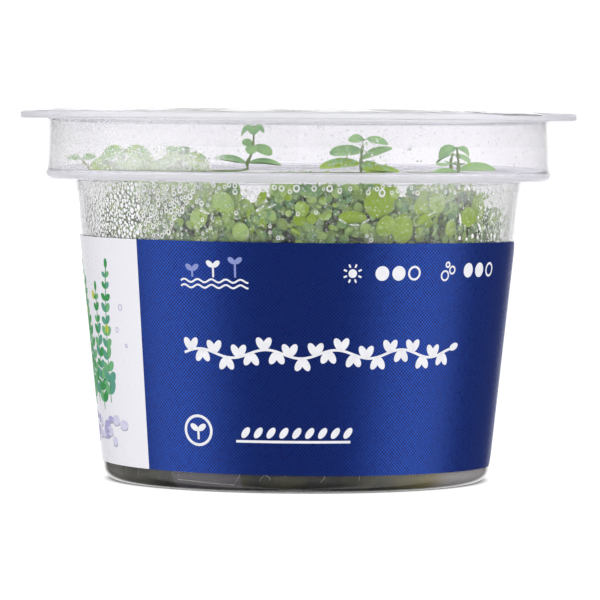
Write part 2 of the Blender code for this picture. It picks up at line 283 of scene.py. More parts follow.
cup_profile += [((COLLAR_RADIUS_TOP + COLLAR_RADIUS_FOOT) / 2, (LEDGE_UNDERSIDE + CUP_HEIGHT) / 2)]
cup_profile += arc((COLLAR_RADIUS_FOOT - COLLAR_ROUND, LEDGE_UNDERSIDE + COLLAR_ROUND),
                   COLLAR_ROUND, 0, -90, ROUND_STEPS)
cup_profile += arc((body_radius(LEDGE_UNDERSIDE) + CORNER_ROUND, LEDGE_UNDERSIDE - CORNER_ROUND),
                   CORNER_ROUND, 90, 180 - TAPER_DEGREES, CORNER_STEPS)
for share in np.linspace(0.05, 0.95, WALL_STEPS):
    height = LEDGE_UNDERSIDE + share * (BASE_ROUND - LEDGE_UNDERSIDE)
    cup_profile.append((body_radius(height), height))
cup_profile += arc((FOOT_RADIUS, BASE_ROUND), BASE_ROUND, -TAPER_DEGREES, -90, ROUND_STEPS)
cup_profile += [(FOOT_RADIUS - FOOT_RING_WIDTH, 0.0),
                (FOOT_RADIUS - FOOT_RING_WIDTH - FOOT_RECESS, FOOT_RECESS),
                (FOOT_RADIUS / 2, FOOT_RECESS), (0.0, FOOT_RECESS)]
cup = turned("cup_moulding", cup_profile[::-1], plastic)
cup.data.materials.append(thick)
for face in cup.data.polygons:
    reach, height = face.center.xy.length, face.center.z
    rim = height > flange_underside - CORNER_ROUND and reach > COLLAR_RADIUS_TOP
    in_ledge = LEDGE_UNDERSIDE - CORNER_ROUND < height < LEDGE_UNDERSIDE + COLLAR_ROUND
    past_body = reach > body_radius(LEDGE_UNDERSIDE) + CORNER_ROUND / 2
    face.material_index = 1 if rim or (in_ledge and past_body) else 0
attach(cup, "root")
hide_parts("cup")

# The gel
# A disc of set nutrient gel poured into the foot of the cup, drawn up a little where it meets the wall and
# uneven on top, where the plantlets were pushed in. It has gone olive and dark, with a clearer pocket at the
# front left, greyer round to the left and yellow at the front right, and painted light makes its far sides
# pale.
GEL_MENISCUS = 0.0008
GEL_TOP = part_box("gel")[1].z - GEL_MENISCUS
GEL_CLING = 0.00004
GEL_BOTTOM = FLOOR_THICK - GEL_CLING
GEL_WALL_FROM = 0.0045
GEL_RIPPLE = 0.00025
GEL_RIPPLE_WAVES = (900, 700)
GEL_IOR = 1.34
GEL_ROUGH = 0.22
GEL_CLEAR = 0.12
GEL_SWIRLS = {"scale": 210.0, "detail": 5.0, "low": 0.38, "high": 0.66, "stretch": (1.0, 1.0, 0.5)}
GEL_GRAIN = (380.0, 3.0)
GEL_GRAIN_STRENGTH = 0.2
GEL_GRAIN_DEPTH = 0.0004
GEL_DARK = (0.036, 0.039, 0.036)
GEL_OLIVE = (0.085, 0.082, 0.050)
GEL_POCKET = (0.140, 0.132, 0.150)
GEL_YELLOW = (0.335, 0.300, 0.130)
GEL_GREYER = (0.150, 0.150, 0.125)
# GEL_PAINTED_LIGHT and its turns are painted light: the colour that the gel's far sides are paled towards.
GEL_PAINTED_LIGHT = (0.56, 0.54, 0.53)
POCKET_LEFT = (-40.5, -38.0)
POCKET_RIGHT = (-15.8, -17.0)
YELLOW_TURNS = (22.0, 52.0)
GREYER_TURNS = (-42.0, -54.0)
PAINTED_LIGHT_LEFT = (-58.0, -72.0)
PAINTED_LIGHT_RIGHT = (42.0, 54.0)
PAINTED_LIGHT_LEFT_MOST = 0.3

round_cup, _, round_out = new_group("round_the_cup", (), (("Turn", "Float"), ("Height", "Float")))
where = round_cup.nodes.new("ShaderNodeTexCoord")
axes = round_cup.nodes.new("ShaderNodeSeparateXYZ")
link(where.outputs["Object"], axes.inputs[0])
frontward = calculate("MULTIPLY", axes.outputs["Y"], -1.0)
turned_by = calculate("ARCTAN2", axes.outputs["X"], frontward)
link(calculate("MULTIPLY", turned_by, math.degrees(1.0)), round_out.inputs["Turn"])
link(axes.outputs["Z"], round_out.inputs["Height"])

gel_stuff, gel_tree, gel_shader = new_material(
    "nutrient_gel", GEL_OLIVE, GEL_ROUGH, IOR=GEL_IOR, Transmission_Weight=GEL_CLEAR)
gel_turn = place_group(gel_tree, round_cup).outputs["Turn"]
gel_colour = blend_colours(clouds(gel_tree, **GEL_SWIRLS), GEL_DARK, GEL_OLIVE)
pocket = calculate("MULTIPLY", ramp(gel_turn, *POCKET_LEFT), ramp(gel_turn, *POCKET_RIGHT))
yellow = ramp(gel_turn, *YELLOW_TURNS)
# Greyer from the front left round towards the left side.
greyer = ramp(gel_turn, *GREYER_TURNS)
# Painted light: the gel is paled towards its far sides, more at the right than at the left.
painted_light = calculate("MAXIMUM", ramp(gel_turn, *PAINTED_LIGHT_LEFT, 0.0, PAINTED_LIGHT_LEFT_MOST), ramp(gel_turn, *PAINTED_LIGHT_RIGHT))
for mask, colour in ((pocket, GEL_POCKET), (yellow, GEL_YELLOW), (greyer, GEL_GREYER), (painted_light, GEL_PAINTED_LIGHT)):
    gel_colour = blend_colours(mask, gel_colour, colour)
link(gel_colour, gel_shader.inputs["Base Color"])
bump(clouds(gel_tree, *GEL_GRAIN), GEL_GRAIN_STRENGTH, GEL_GRAIN_DEPTH, gel_shader)

gel_wall = BODY_WALL - GEL_CLING
gel_foot = body_radius(GEL_BOTTOM + BASE_ROUND, gel_wall)
gel_edge = body_radius(GEL_TOP, gel_wall)
gel_top_edge = gel_edge - GEL_MENISCUS
gel_profile = [(0.0, GEL_BOTTOM), (gel_foot * 0.6, GEL_BOTTOM)]
gel_profile += arc((gel_foot - BASE_ROUND, GEL_BOTTOM + BASE_ROUND),
                   BASE_ROUND, -90, -TAPER_DEGREES, ROUND_STEPS)
for height in np.linspace(GEL_WALL_FROM, GEL_TOP + GEL_MENISCUS, 5):
    gel_profile.append((body_radius(height, gel_wall), height))
for share in (0.25, 0.5, 0.75, 1.0):
    gel_profile.append((gel_edge - GEL_MENISCUS * share, GEL_TOP + GEL_MENISCUS * (1 - share) ** 2))
gel_profile += [(gel_top_edge * share, GEL_TOP) for share in np.linspace(0.95, 0.12, 8)]
gel_profile.append((0.0, GEL_TOP))
gel = turned("set_gel", gel_profile, gel_stuff)
for vertex in gel.data.vertices:
    inside = max(0.0, 1.0 - vertex.co.xy.length / gel_top_edge)
    if vertex.co.z > GEL_TOP - GEL_CLING:
        swell = math.sin(vertex.co.x * GEL_RIPPLE_WAVES[0]) * math.cos(vertex.co.y * GEL_RIPPLE_WAVES[1])
        vertex.co.z += min(1.0, 3 * inside) * GEL_RIPPLE * swell
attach(gel, "root")
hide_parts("gel")

# The seven plantlets
# Each is a tuft of thin juicy stems with small round leaves in opposite pairs, pushed into the gel by
# itself. They have grown into one dense mat that fills the body of the cup, and where they meet the wall the
# leaves lie flat against it. Each tuft is one mesh of stems and leaf blades.
PLANTLETS = 7
WEDGE = 60.0
STEM_SIDES = 5
STEM_STATIONS = 7
STEM_RADIUS = 0.00036
LEAF_WIDTH = 0.90
LEAF_THICK = 0.00016
WALL_CLEAR = 0.00052
WALL_RADIUS = 0.0368
MAT_TOP = 0.0502
HEADSPACE_FLOOR = 0.0510
LEFT_EDGE_BARE = -0.0335
BARE_ABOVE = 0.036
BARE_DEPTH = 0.016
RIGHT_EDGE_BARE = 0.0308
RIGHT_EDGE_LEAN = 0.35
RIGHT_BARE_ABOVE = 0.0460
EYE_DISTANCE = 0.758
EYE_HEIGHT = 0.0598
GAPS = ((-0.0077, 0.0032, 0.0132), (0.0184, 0.0021, 0.0124))
GAP_STEM_TOP = 0.0450
WINDOW_TURNS = (80.0, 118.0)
CORE_RINGS = ((0.003, 3), (0.008, 7), (0.012, 9))
WEDGE_RINGS = ((0.0165, 4), (0.0215, 6), (0.0260, 8), (0.0300, 10), (0.0328, 11))
STEM_TURN_SPREAD = 0.05
STEM_CURVE = 1.3
STEM_WAVES = 5.5
STEM_TIP = 0.55
STEM_TOP_DROP = 0.0004
OUTER_STEMS_FROM = 0.0285
OUTER_PAIR_STEP = 0.0029
OUTER_PAIRS_DOWN_TO = 0.014
INNER_PAIR_STEP = 0.0031
INNER_PAIRS_DOWN_TO = 0.030
TOP_PAIR_DROP = 0.0003
YOUNG_PAIRS = 2.5
YOUNG_RISE = 2
YOUNG_SMALLER = 0.18
YOUNG_RIPER = 0.5
STEM_TONES = (0.25, 0.8)
MOST_TONE = 1.05
LEAF_WANDER = 0.0022
LEAF_TURN = 0.25
LEAF_RISES = (-12, 38)
LEAF_ROLL = 0.55
LEAF_CUPS = (0.1, 0.5)
LEAF_CURLS = (-0.3, 0.7)
LEAF_LENGTHS = (0.0026, 0.0044)
LEAF_LAYERS = (0.0008, 0.0022)
WALL_PAIRS = 245
WALL_PAIR_HEIGHTS = (0.0368, 0.0512)
WALL_LEAF_LENGTHS = (0.0010, 0.0027)
WALL_LEAF_WIDTHS = (0.74, 0.92)
WALL_LEAF_DEPTHS = (0.0008, 0.0028)
WALL_LEAF_TONE = 0.50
WALL_LEAF_SECOND = 0.85
WALL_LEAF_CUPS = (-0.25, 0.1)
WALL_LEAF_CURLS = (0.0, 0.5)
WALL_LEAF_LEAN = 0.4
FRONT_LEAF_LEAN = 0.06
LOW_PAIRS = 110
LOW_PAIR_HEIGHTS = (0.0118, 0.0375)
TUFT_MIDDLE = 0.022
FOOT_SPREAD = 0.62
FOOT_REACH = 0.0300
ROOTED = 0.004
STEM_REACH = (0.002, 0.0335)
STEM_SPREAD = 0.0007
STEM_SWAY = 0.0008
STEM_CLEAR = 0.0004
FRONT_FROM = -0.014
FRONT_RISE = 0.0012
MOTTLE_SCALE = 900.0
PATCH_SCALE = 330.0
VEIN_SPACING = 0.18


def unit(vectors):
    """Vectors of length one."""
    return vectors / np.maximum(np.linalg.norm(vectors, axis=-1, keepdims=True), 1e-9)


def inner_wall(turn, height):
    """Points on the inside of the wall, and inward, sideways and upward there, for turns in degrees."""
    turn = np.radians(turn)
    collar = height > LEDGE_TOP
    radius = np.where(collar, collar_radius(height, COLLAR_WALL), body_radius(height, BODY_WALL))
    slope = np.where(collar, (COLLAR_RADIUS_TOP - COLLAR_RADIUS_FOOT) / (CUP_HEIGHT - LEDGE_TOP), BODY_SLOPE)
    outward = np.stack([np.sin(turn), -np.cos(turn), np.zeros_like(turn)], axis=-1)
    sideways = np.stack([np.cos(turn), np.sin(turn), np.zeros_like(turn)], axis=-1)
    upward = unit(outward * slope[..., None] + np.array([0.0, 0.0, 1.0]))
    inward = np.cross(sideways, upward)
    inward *= -np.sign(np.sum(inward * outward, axis=-1, keepdims=True))
    place = outward * radius[..., None] + np.array([0.0, 0.0, 1.0]) * height[..., None]
    return place, inward, sideways, upward


def blade_template(stations, half_columns):
    """A round leaf blade as (along, across, side) points with its faces: two skins that meet at the rim."""
    index, points, faces = {}, [], []

    def point(station, column, side):
        turn = math.pi * station / stations
        end = station in (0, stations)
        rim = end or abs(column) == half_columns
        key = (station, 0 if end else column, 0 if rim else side)
        if key not in index:
            index[key] = len(points)
            across = 0.0 if end else column / half_columns
            thick = 0.0 if rim else side * math.sin(turn) * (1 - across ** 2)
            points.append(((1 - math.cos(turn)) / 2, across, math.sin(turn), thick))
        return index[key]

    for side in (1, -1):
        for station in range(stations):
            for column in range(-half_columns, half_columns):
                loop = [point(station, column, side), point(station + 1, column, side),
                        point(station + 1, column + 1, side), point(station, column + 1, side)]
                loop = [corner for place, corner in enumerate(loop) if corner not in loop[:place]]
                faces.append(loop if side < 0 else loop[::-1])
    return np.array(points), faces


def grow_blades(template, foot, along, up, length, width, cup, curl, tone):
    """Leaf blades for rows of feet and headings: their points, faces and (along, across, tone) marks."""
    points, faces = template
    count, size = len(foot), len(points)
    u, v, half_width, thick = points.T
    length, width, cup, curl, tone = (np.broadcast_to(np.asarray(value, float), (count,))[:, None]
                                      for value in (length, width, cup, curl, tone))
    along = unit(along)
    up = unit(up - along * np.sum(up * along, axis=1, keepdims=True))
    side = np.cross(up, along)
    curl = np.where(np.abs(curl) > 1e-4, curl, 1e-4)
    reach = length * np.sin(curl * u) / curl
    drop = length * (1 - np.cos(curl * u)) / curl
    across = width * length / 2 * half_width * v
    lift = cup * (half_width * v) ** 2 * length / 2 - drop + LEAF_THICK * thick
    spots = (foot[:, None] + along[:, None] * reach[..., None] + side[:, None] * across[..., None]
             + up[:, None] * lift[..., None])
    marks = np.stack(np.broadcast_arrays(u, v, tone), axis=-1)
    shifted = [[corner + size * leaf for corner in face] for leaf in range(count) for face in faces]
    return spots.reshape(-1, 3), shifted, marks.reshape(-1, 3)


def keep_inside(spots, layer):
    """Press points that would pass through the cup's wall flat against its inside."""
    radius = np.hypot(spots[:, 0], spots[:, 1])
    wall = np.where(spots[:, 2] > LEDGE_TOP, collar_radius(spots[:, 2], COLLAR_WALL + COLLAR_ROUND / 2),
                    body_radius(spots[:, 2], BODY_WALL))
    limit = wall - WALL_CLEAR - layer
    share = np.where(radius > limit, limit / np.maximum(radius, 1e-6), 1.0)
    spots[:, :2] *= share[:, None]
    return spots


def grow_tubes(paths, radii, sides):
    """Round stems along rows of paths: their points, faces and marks."""
    count, stations = paths.shape[:2]
    ahead = unit(np.gradient(paths, axis=1))
    across = unit(np.cross(ahead, np.array([0.31, 0.83, 0.12])))
    other = np.cross(ahead, across)
    turns = np.arange(sides) * 2 * math.pi / sides
    rings = (paths[:, :, None] + radii[:, :, None, None] * (
        across[:, :, None] * np.cos(turns)[:, None] + other[:, :, None] * np.sin(turns)[:, None]))
    faces = []
    for tube in range(count):
        base = tube * stations * sides
        for station in range(stations - 1):
            for step in range(sides):
                here = base + station * sides + step
                beside = base + station * sides + (step + 1) % sides
                faces.append([here, beside, beside + sides, here + sides])
        faces.append([base + step for step in range(sides)][::-1])
        faces.append([base + (stations - 1) * sides + step for step in range(sides)])
    share = np.linspace(0.0, 1.0, stations)[None, :, None]
    marks = np.stack(np.broadcast_arrays(share, 0.0, dice.random((count, 1, 1))), axis=-1)
    marks = np.broadcast_to(marks, (count, stations, sides, 3))
    return rings.reshape(-1, 3), faces, marks.reshape(-1, 3)


def sharpen(piece, rim):
    """Make every edge between two rim points a crisp one."""
    ends = np.zeros(len(piece.data.edges) * 2, np.int32)
    piece.data.edges.foreach_get("vertices", ends)
    ends = ends.reshape(-1, 2)
    crease = piece.data.attributes.new("sharp_edge", "BOOLEAN", "EDGE")
    crease.data.foreach_set("value", rim[ends[:, 0]] & rim[ends[:, 1]])


def plant_piece(name, groups, materials):
    """One mesh of (points, faces, marks) groups, each with its own material, with crisp leaf rims."""
    spots, faces, marks, slots, offset = [], [], [], [], 0
    for slot_number, (group_spots, group_faces, group_marks) in groups:
        faces += [[corner + offset for corner in face] for face in group_faces]
        spots.append(group_spots)
        marks.append(group_marks)
        slots += [slot_number] * len(group_faces)
        offset += len(group_spots)
    piece = new_piece(name, np.concatenate(spots), faces, materials[0])
    for material in materials[1:]:
        piece.data.materials.append(material)
    piece.data.polygons.foreach_set("material_index", slots)
    marks = np.concatenate(marks)
    blade = piece.data.attributes.new("blade", "FLOAT_VECTOR", "POINT")
    blade.data.foreach_set("vector", marks.astype(np.float32).ravel())
    sharpen(piece, (np.abs(marks[:, 1]) > 0.999) | (marks[:, 0] < 0.001) | (marks[:, 0] > 0.999))
    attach(piece, "root")
    return piece


living, living_in, living_out = new_group(
    "living_green",
    (("Dark", "Color", (0.3, 0.5, 0.1, 1.0)), ("Light", "Color", (0.6, 0.8, 0.3, 1.0)),
     ("Ripe", "Color", (0.7, 0.8, 0.1, 1.0)), ("Veins", "Float", 0.3), ("Least Rough", "Float", 0.3),
     ("Most Rough", "Float", 0.5)),
    (("Colour", "Color"), ("Roughness", "Float"), ("Height", "Float")))
mark = living.nodes.new("ShaderNodeAttribute")
mark.attribute_name = "blade"
split = living.nodes.new("ShaderNodeSeparateXYZ")
link(mark.outputs["Vector"], split.inputs[0])
blade_across, blade_tone = split.outputs[1], split.outputs[2]
mottle = clouds(living, MOTTLE_SCALE, 3.0, 0.25, 0.75)
patches = clouds(living, PATCH_SCALE, 2.0, 0.3, 0.7)
mixed = calculate("MULTIPLY_ADD", calculate("SUBTRACT", mottle, 0.5), 0.45, blade_tone)
mixed = calculate("MULTIPLY_ADD", calculate("SUBTRACT", patches, 0.5), 0.35, mixed)
dark, light, ripe = (living_in.outputs[tone] for tone in ("Dark", "Light", "Ripe"))
green = blend_colours(ramp(mixed, 0.0, 0.75), dark, light)
green = blend_colours(ramp(mixed, 0.78, 0.98), green, ripe)
rib = calculate("PINGPONG", calculate("ABSOLUTE", blade_across), VEIN_SPACING)
vein = calculate("MULTIPLY", ramp(rib, 0.05, 0.015), living_in.outputs["Veins"])
link(blend_colours(vein, green, ripe), living_out.inputs["Colour"])
smoothest, roughest = living_in.outputs["Least Rough"], living_in.outputs["Most Rough"]
wear = calculate("SUBTRACT", roughest, smoothest)
link(calculate("MULTIPLY_ADD", mottle, wear, smoothest), living_out.inputs["Roughness"])
link(calculate("SUBTRACT", mottle, vein), living_out.inputs["Height"])


PLANT_IOR = 1.42
PLANT_SHINE = 0.15
VEIN_STRENGTH = 0.25
VEIN_DEPTH = 0.00015


def plant_material(name, dark, light, ripe, glow, roughness, veins):
    """Living green: a tone for each leaf, paler veins, and light that comes through the blade."""
    material, tree, shader = new_material(
        name, dark, roughness, IOR=PLANT_IOR, Specular_IOR_Level=PLANT_SHINE)
    green = place_group(tree, living, Dark=(*dark, 1.0), Light=(*light, 1.0), Ripe=(*ripe, 1.0), Veins=veins)
    green.inputs["Least Rough"].default_value = roughness - 0.08
    green.inputs["Most Rough"].default_value = roughness + 0.12
    link(green.outputs["Colour"], shader.inputs["Base Color"])
    link(green.outputs["Roughness"], shader.inputs["Roughness"])
    bump(green.outputs["Height"], VEIN_STRENGTH, VEIN_DEPTH, shader)
    through = tree.nodes.new("ShaderNodeBsdfTranslucent")
    link(green.outputs["Colour"], through.inputs["Color"])
    both = tree.nodes.new("ShaderNodeMixShader")
    both.inputs[0].default_value = glow
    link(shader.outputs[0], both.inputs[1])
    link(through.outputs[0], both.inputs[2])
    link(both.outputs[0], tree.nodes["Material Output"].inputs["Surface"])
    return material


mat_leaf = plant_material("mat_leaf", (0.17, 0.36, 0.15), (0.46, 0.67, 0.18), (0.325, 0.515, 0.006),
                          glow=0.20, roughness=0.38, veins=0.12)
mat_stem = plant_material("mat_stem", (0.40, 0.54, 0.20), (0.60, 0.72, 0.32), (0.70, 0.78, 0.40),
                          glow=0.30, roughness=0.42, veins=0.0)
inner_blade = blade_template(6, 1)
wall_blade = blade_template(8, 2)
fine_blade = blade_template(12, 3)


def stem_targets(number):
    """Where the stems of one plantlet reach to: (turn about the cup, radius) of each."""
    if number == 0:
        return [(turn + 0.4 * radius, radius) for radius, count in CORE_RINGS
                for turn in np.linspace(0, 2 * math.pi, count, endpoint=False)]
    start = math.radians(WEDGE * (number - 1))
    targets = []
    for radius, count in WEDGE_RINGS:
        turns = start + (np.arange(count) + 0.5) / count * math.radians(WEDGE)
        targets += [(turn, radius) for turn in turns]
    return targets


def seen_bare(spots):
    """Which of these spots lie where the mat stands back from the wall, or in a gap, seen from the front."""
    nearer = EYE_DISTANCE / (EYE_DISTANCE + spots[:, 1])
    view_x, view_drop = spots[:, 0] * nearer, (EYE_HEIGHT - spots[:, 2]) * nearer
    left = (view_x < LEFT_EDGE_BARE) & (spots[:, 2] > BARE_ABOVE) & (np.abs(spots[:, 1]) < BARE_DEPTH)
    right_edge = RIGHT_EDGE_BARE + (MAT_TOP - spots[:, 2]) * RIGHT_EDGE_LEAN
    right = (view_x > right_edge) & (spots[:, 2] > RIGHT_BARE_ABOVE)
    gap = np.zeros(len(spots), bool)
    for middle, half, foot in GAPS:
        gap |= (np.abs(view_x - middle) < half) & (view_drop < foot)
    return left | right | gap


def stem_leaves(paths, top, radius):
    """The opposite pairs of leaves up each stem: their feet, headings, faces, sizes, tones and layers."""
    rows = []
    for stem in range(len(paths)):
        outer = radius[stem] > OUTER_STEMS_FROM
        step = OUTER_PAIR_STEP if outer else INNER_PAIR_STEP
        lowest = OUTER_PAIRS_DOWN_TO if outer else INNER_PAIRS_DOWN_TO
        heights = np.arange(top[stem] - TOP_PAIR_DROP, lowest, -step * dice.uniform(0.9, 1.1))
        quarter = dice.uniform(0, math.pi)
        stem_tone = dice.uniform(*STEM_TONES)
        for pair, at_height in enumerate(heights):
            climbed = (at_height - paths[stem, 0, 2]) / (paths[stem, -1, 2] - paths[stem, 0, 2])
            spot = climbed * (STEM_STATIONS - 1)
            cell = min(int(spot), STEM_STATIONS - 2)
            foot = paths[stem, cell] + (paths[stem, cell + 1] - paths[stem, cell]) * (spot - cell)
            ahead = unit(paths[stem, cell + 1] - paths[stem, cell] + dice.normal(0, LEAF_WANDER, 3))
            heading = quarter + pair * math.pi / 2 + dice.normal(0, LEAF_TURN)
            young = max(0.0, 1.0 - pair / YOUNG_PAIRS)
            first = unit(np.cross(ahead, [0.2, 0.1, 1.0 if abs(ahead[2]) < 0.9 else 0.0]))
            second = np.cross(ahead, first)
            for half_turn in (0.0, math.pi):
                flat_out = math.cos(heading + half_turn) * first + math.sin(heading + half_turn) * second
                rise = math.radians(dice.uniform(*LEAF_RISES) + YOUNG_RISE * young)
                direction = math.cos(rise) * flat_out + math.sin(rise) * ahead
                face_up = math.cos(rise) * ahead - math.sin(rise) * flat_out
                roll = dice.normal(0, LEAF_ROLL)
                face_up = face_up * math.cos(roll) + np.cross(direction, face_up) * math.sin(roll)
                size = dice.uniform(*LEAF_LENGTHS) * (1.0 - YOUNG_SMALLER * young)
                tone = np.clip(stem_tone + dice.normal(0, 0.14) + YOUNG_RIPER * young, 0, MOST_TONE)
                rows.append([*(foot + direction * STEM_RADIUS * 0.4), *direction, *face_up, size, tone,
                             dice.uniform(*LEAF_LAYERS)])
    rows = np.array(rows)
    return rows[:, 0:3], rows[:, 3:6], rows[:, 6:9], rows[:, 9], rows[:, 10], rows[:, 11]


# Leaves at the front that can be told apart, each lying on the wall: turn, height of its middle, length,
# width share, heading clockwise from up, tone and depth behind the wall.
FRONT_LEAVES = (
    (21.8, 0.0480, 0.0058, 0.92, 176, 1.25, 0.0000),
    (25.0, 0.0494, 0.0030, 0.80, 60, 0.98, 0.0002),
    (14.4, 0.0455, 0.0050, 0.42, 92, 1.25, 0.0000),
    (23.6, 0.0440, 0.0038, 0.85, 200, 1.02, 0.0001),
    (29.0, 0.0436, 0.0050, 0.84, 20, 1.06, 0.0002),
    (35.4, 0.0453, 0.0036, 0.46, 62, 1.15, 0.0000),
    (51.0, 0.0455, 0.0040, 0.84, 95, 1.25, 0.0000),
    (56.4, 0.0470, 0.0056, 0.72, 158, 1.15, 0.0003),
    (-9.3, 0.0487, 0.0026, 0.52, 24, 1.10, 0.0000),
    (-15.1, 0.0430, 0.0030, 0.95, 0, 0.80, 0.0000),
    (-0.6, 0.0431, 0.0019, 0.42, 124, 1.15, 0.0000),
    (-19.6, 0.0478, 0.0040, 0.86, 140, 0.66, 0.0003),
    (-27.0, 0.0452, 0.0036, 0.84, 30, 0.74, 0.0004),
    (40.0, 0.0478, 0.0042, 0.82, 100, 0.80, 0.0006),
    (34.6, 0.0474, 0.0034, 0.85, 35, 0.96, 0.0007),
    (37.0, 0.0462, 0.0028, 0.85, 250, 0.90, 0.0009),
    (46.0, 0.0436, 0.0034, 0.85, 70, 0.94, 0.0007),
)


def wall_leaves(number):
    """The leaves of one plantlet that lie flat on the wall, as rows in the order of FRONT_LEAVES."""
    start = WEDGE * (number - 1) + 90.0
    turns = dice.uniform(start, start + WEDGE, WALL_PAIRS)
    heights = dice.uniform(*WALL_PAIR_HEIGHTS, WALL_PAIRS)
    low_turns = dice.uniform(*WINDOW_TURNS, LOW_PAIRS)
    low = (low_turns - start) % 360.0 < WEDGE
    turns = np.concatenate([turns, low_turns[low]])
    heights = np.concatenate([heights, dice.uniform(*LOW_PAIR_HEIGHTS, LOW_PAIRS)[low]])
    count = len(turns)
    heading = dice.uniform(0, 2 * math.pi, count)
    length = dice.uniform(*WALL_LEAF_LENGTHS, count)
    tone = np.clip(dice.normal(WALL_LEAF_TONE, 0.25, count), 0, 1)
    rows = []
    for half_turn, share in ((0.0, 1.0), (math.pi, WALL_LEAF_SECOND)):
        way = heading + half_turn + dice.normal(0, LEAF_TURN, count)
        size = length * share
        rows.append(np.stack([
            turns + np.degrees(np.sin(way) * size / 2 / WALL_RADIUS), heights + np.cos(way) * size / 2,
            size, dice.uniform(*WALL_LEAF_WIDTHS, count), way, tone + dice.normal(0, 0.05, count),
            dice.uniform(*WALL_LEAF_DEPTHS, count)], axis=1))
    rows = np.concatenate(rows)
    rows[:, 1] = np.minimum(rows[:, 1], HEADSPACE_FLOOR - rows[:, 2] / 2)
    return rows


def lay_on_wall(rows, template, lean):
    """Blades for rows of leaves on the wall."""
    turns, heights, lengths, widths, headings, tones, depths = rows.T
    place, inward, sideways, upward = inner_wall(turns, heights)
    flat = np.cos(headings)[:, None] * upward + np.sin(headings)[:, None] * sideways
    tilt = dice.normal(0, lean, len(rows))[:, None]
    along = np.cos(tilt) * flat + np.sin(tilt) * inward
    face = np.sin(tilt) * flat - np.cos(tilt) * inward
    foot = place + inward * (depths[:, None] + WALL_CLEAR) - along * lengths[:, None] / 2
    blades = grow_blades(template, foot, along, face, lengths, widths,
                         cup=dice.uniform(*WALL_LEAF_CUPS, len(rows)),
                         curl=dice.uniform(*WALL_LEAF_CURLS, len(rows)), tone=tones.clip(0))
    return keep_inside(blades[0], np.repeat(depths, len(template[0]))), blades[1], blades[2]


def grow_plantlet(number, name):
    """The stems and leaves of one plantlet."""
    targets = np.array(stem_targets(number))
    count = len(targets)
    turn = targets[:, 0] + dice.normal(0, STEM_TURN_SPREAD, count)
    radius = np.clip(targets[:, 1] + dice.normal(0, STEM_SPREAD, count), *STEM_REACH)
    middle = 0.0 if number == 0 else TUFT_MIDDLE
    middle_turn = math.radians(WEDGE * (number - 1) + WEDGE / 2)
    centre = np.array([middle * math.cos(middle_turn), middle * math.sin(middle_turn)])
    tips = np.stack([radius * np.cos(turn), radius * np.sin(turn)], axis=1)
    feet = centre + (tips - centre) * FOOT_SPREAD + dice.normal(0, STEM_SWAY, (count, 2))
    feet *= np.minimum(1.0, FOOT_REACH / np.linalg.norm(feet, axis=1, keepdims=True))
    front = tips[:, 1] < FRONT_FROM
    top = MAT_TOP - STEM_TOP_DROP + dice.normal(0, STEM_SPREAD, count) + np.where(front, FRONT_RISE, 0.0)
    share = np.linspace(0, 1, STEM_STATIONS)[None, :, None]
    flat = feet[:, None] + (tips - feet)[:, None] * share ** STEM_CURVE
    sway = dice.uniform(0, 2 * math.pi, (count, 2))
    flat = flat + STEM_SWAY * np.sin(share * STEM_WAVES + sway[:, None]) * share
    height = GEL_TOP - ROOTED + (top - GEL_TOP + ROOTED)[:, None, None] * share
    paths = np.concatenate([flat, height], axis=2)
    in_gap = seen_bare(paths[:, -1]) | seen_bare(paths[:, -2])
    paths[in_gap, :, 2] = np.minimum(paths[in_gap, :, 2], GAP_STEM_TOP)
    top = np.where(in_gap, GAP_STEM_TOP, top)
    thin = np.linspace(1.0, STEM_TIP, STEM_STATIONS)[None, :] * STEM_RADIUS
    thin = thin * dice.uniform(0.85, 1.15, (count, 1))
    tubes = grow_tubes(paths, thin, STEM_SIDES)
    tubes = (keep_inside(tubes[0], STEM_CLEAR), tubes[1], tubes[2])

    foot, along, face, size, tone, layer = stem_leaves(paths, top, radius)
    keep = ~seen_bare(foot + along * size[:, None] * 0.5)
    blades = grow_blades(inner_blade, foot[keep], along[keep], face[keep], size[keep],
                         width=LEAF_WIDTH * dice.uniform(0.92, 1.08, keep.sum()),
                         cup=dice.uniform(*LEAF_CUPS, keep.sum()),
                         curl=dice.uniform(*LEAF_CURLS, keep.sum()), tone=tone[keep])
    layer = np.repeat(layer[keep], len(inner_blade[0]))
    pressed = keep_inside(blades[0], layer)
    pressed[:, 2] = np.minimum(pressed[:, 2], HEADSPACE_FLOOR - layer)
    groups = [(0, (pressed, blades[1], blades[2])), (1, tubes)]
    if number > 0:
        rows = wall_leaves(number)
        rows = rows[~seen_bare(inner_wall(rows[:, 0], rows[:, 1])[0])]
        groups.append((0, lay_on_wall(rows, wall_blade, WALL_LEAF_LEAN)))
        told_apart = np.array(FRONT_LEAVES)
        told_apart[:, 4] = np.radians(told_apart[:, 4])
        own = np.floor(((told_apart[:, 0] - 90.0) % 360.0) / WEDGE).astype(int) == number - 1
        if own.any():
            groups.append((0, lay_on_wall(told_apart[own], fine_blade, FRONT_LEAF_LEAN)))
    return plant_piece(name, groups, [mat_leaf, mat_stem])


for number in range(PLANTLETS):
    node = "plantlet_core" if number == 0 else f"plantlet_{number}"
    tuft = grow_plantlet(number, f"{node}_tuft")
    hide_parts(node)

# The roots
# Fine pale roots that have grown down through the gel and run along its outside, where they show through
# the wall. They are round tubes on the gel's side, eight at the front in their places and the rest behind.
ROOT_RADIUS = 0.00010
ROOT_STATIONS = 8
ROOT_SIDES = 5
ROOT_ROUGH = 0.5
ROOT_DARK = (0.34, 0.33, 0.27)
ROOT_LIGHT = (0.62, 0.60, 0.52)
ROOT_WAVE = 0.35
ROOT_WAVES = 7.0
ROOT_SWERVE = 3.0
ROOT_TIP = 0.6
ROOT_GRAIN = (2500.0, 2.0)
BACK_ROOTS = 46
BACK_ROOT_TURNS = (40, 340)
BACK_ROOT_TOPS = (0.0030, 0.0090)
BACK_ROOT_FEET = (0.0006, 0.0022)

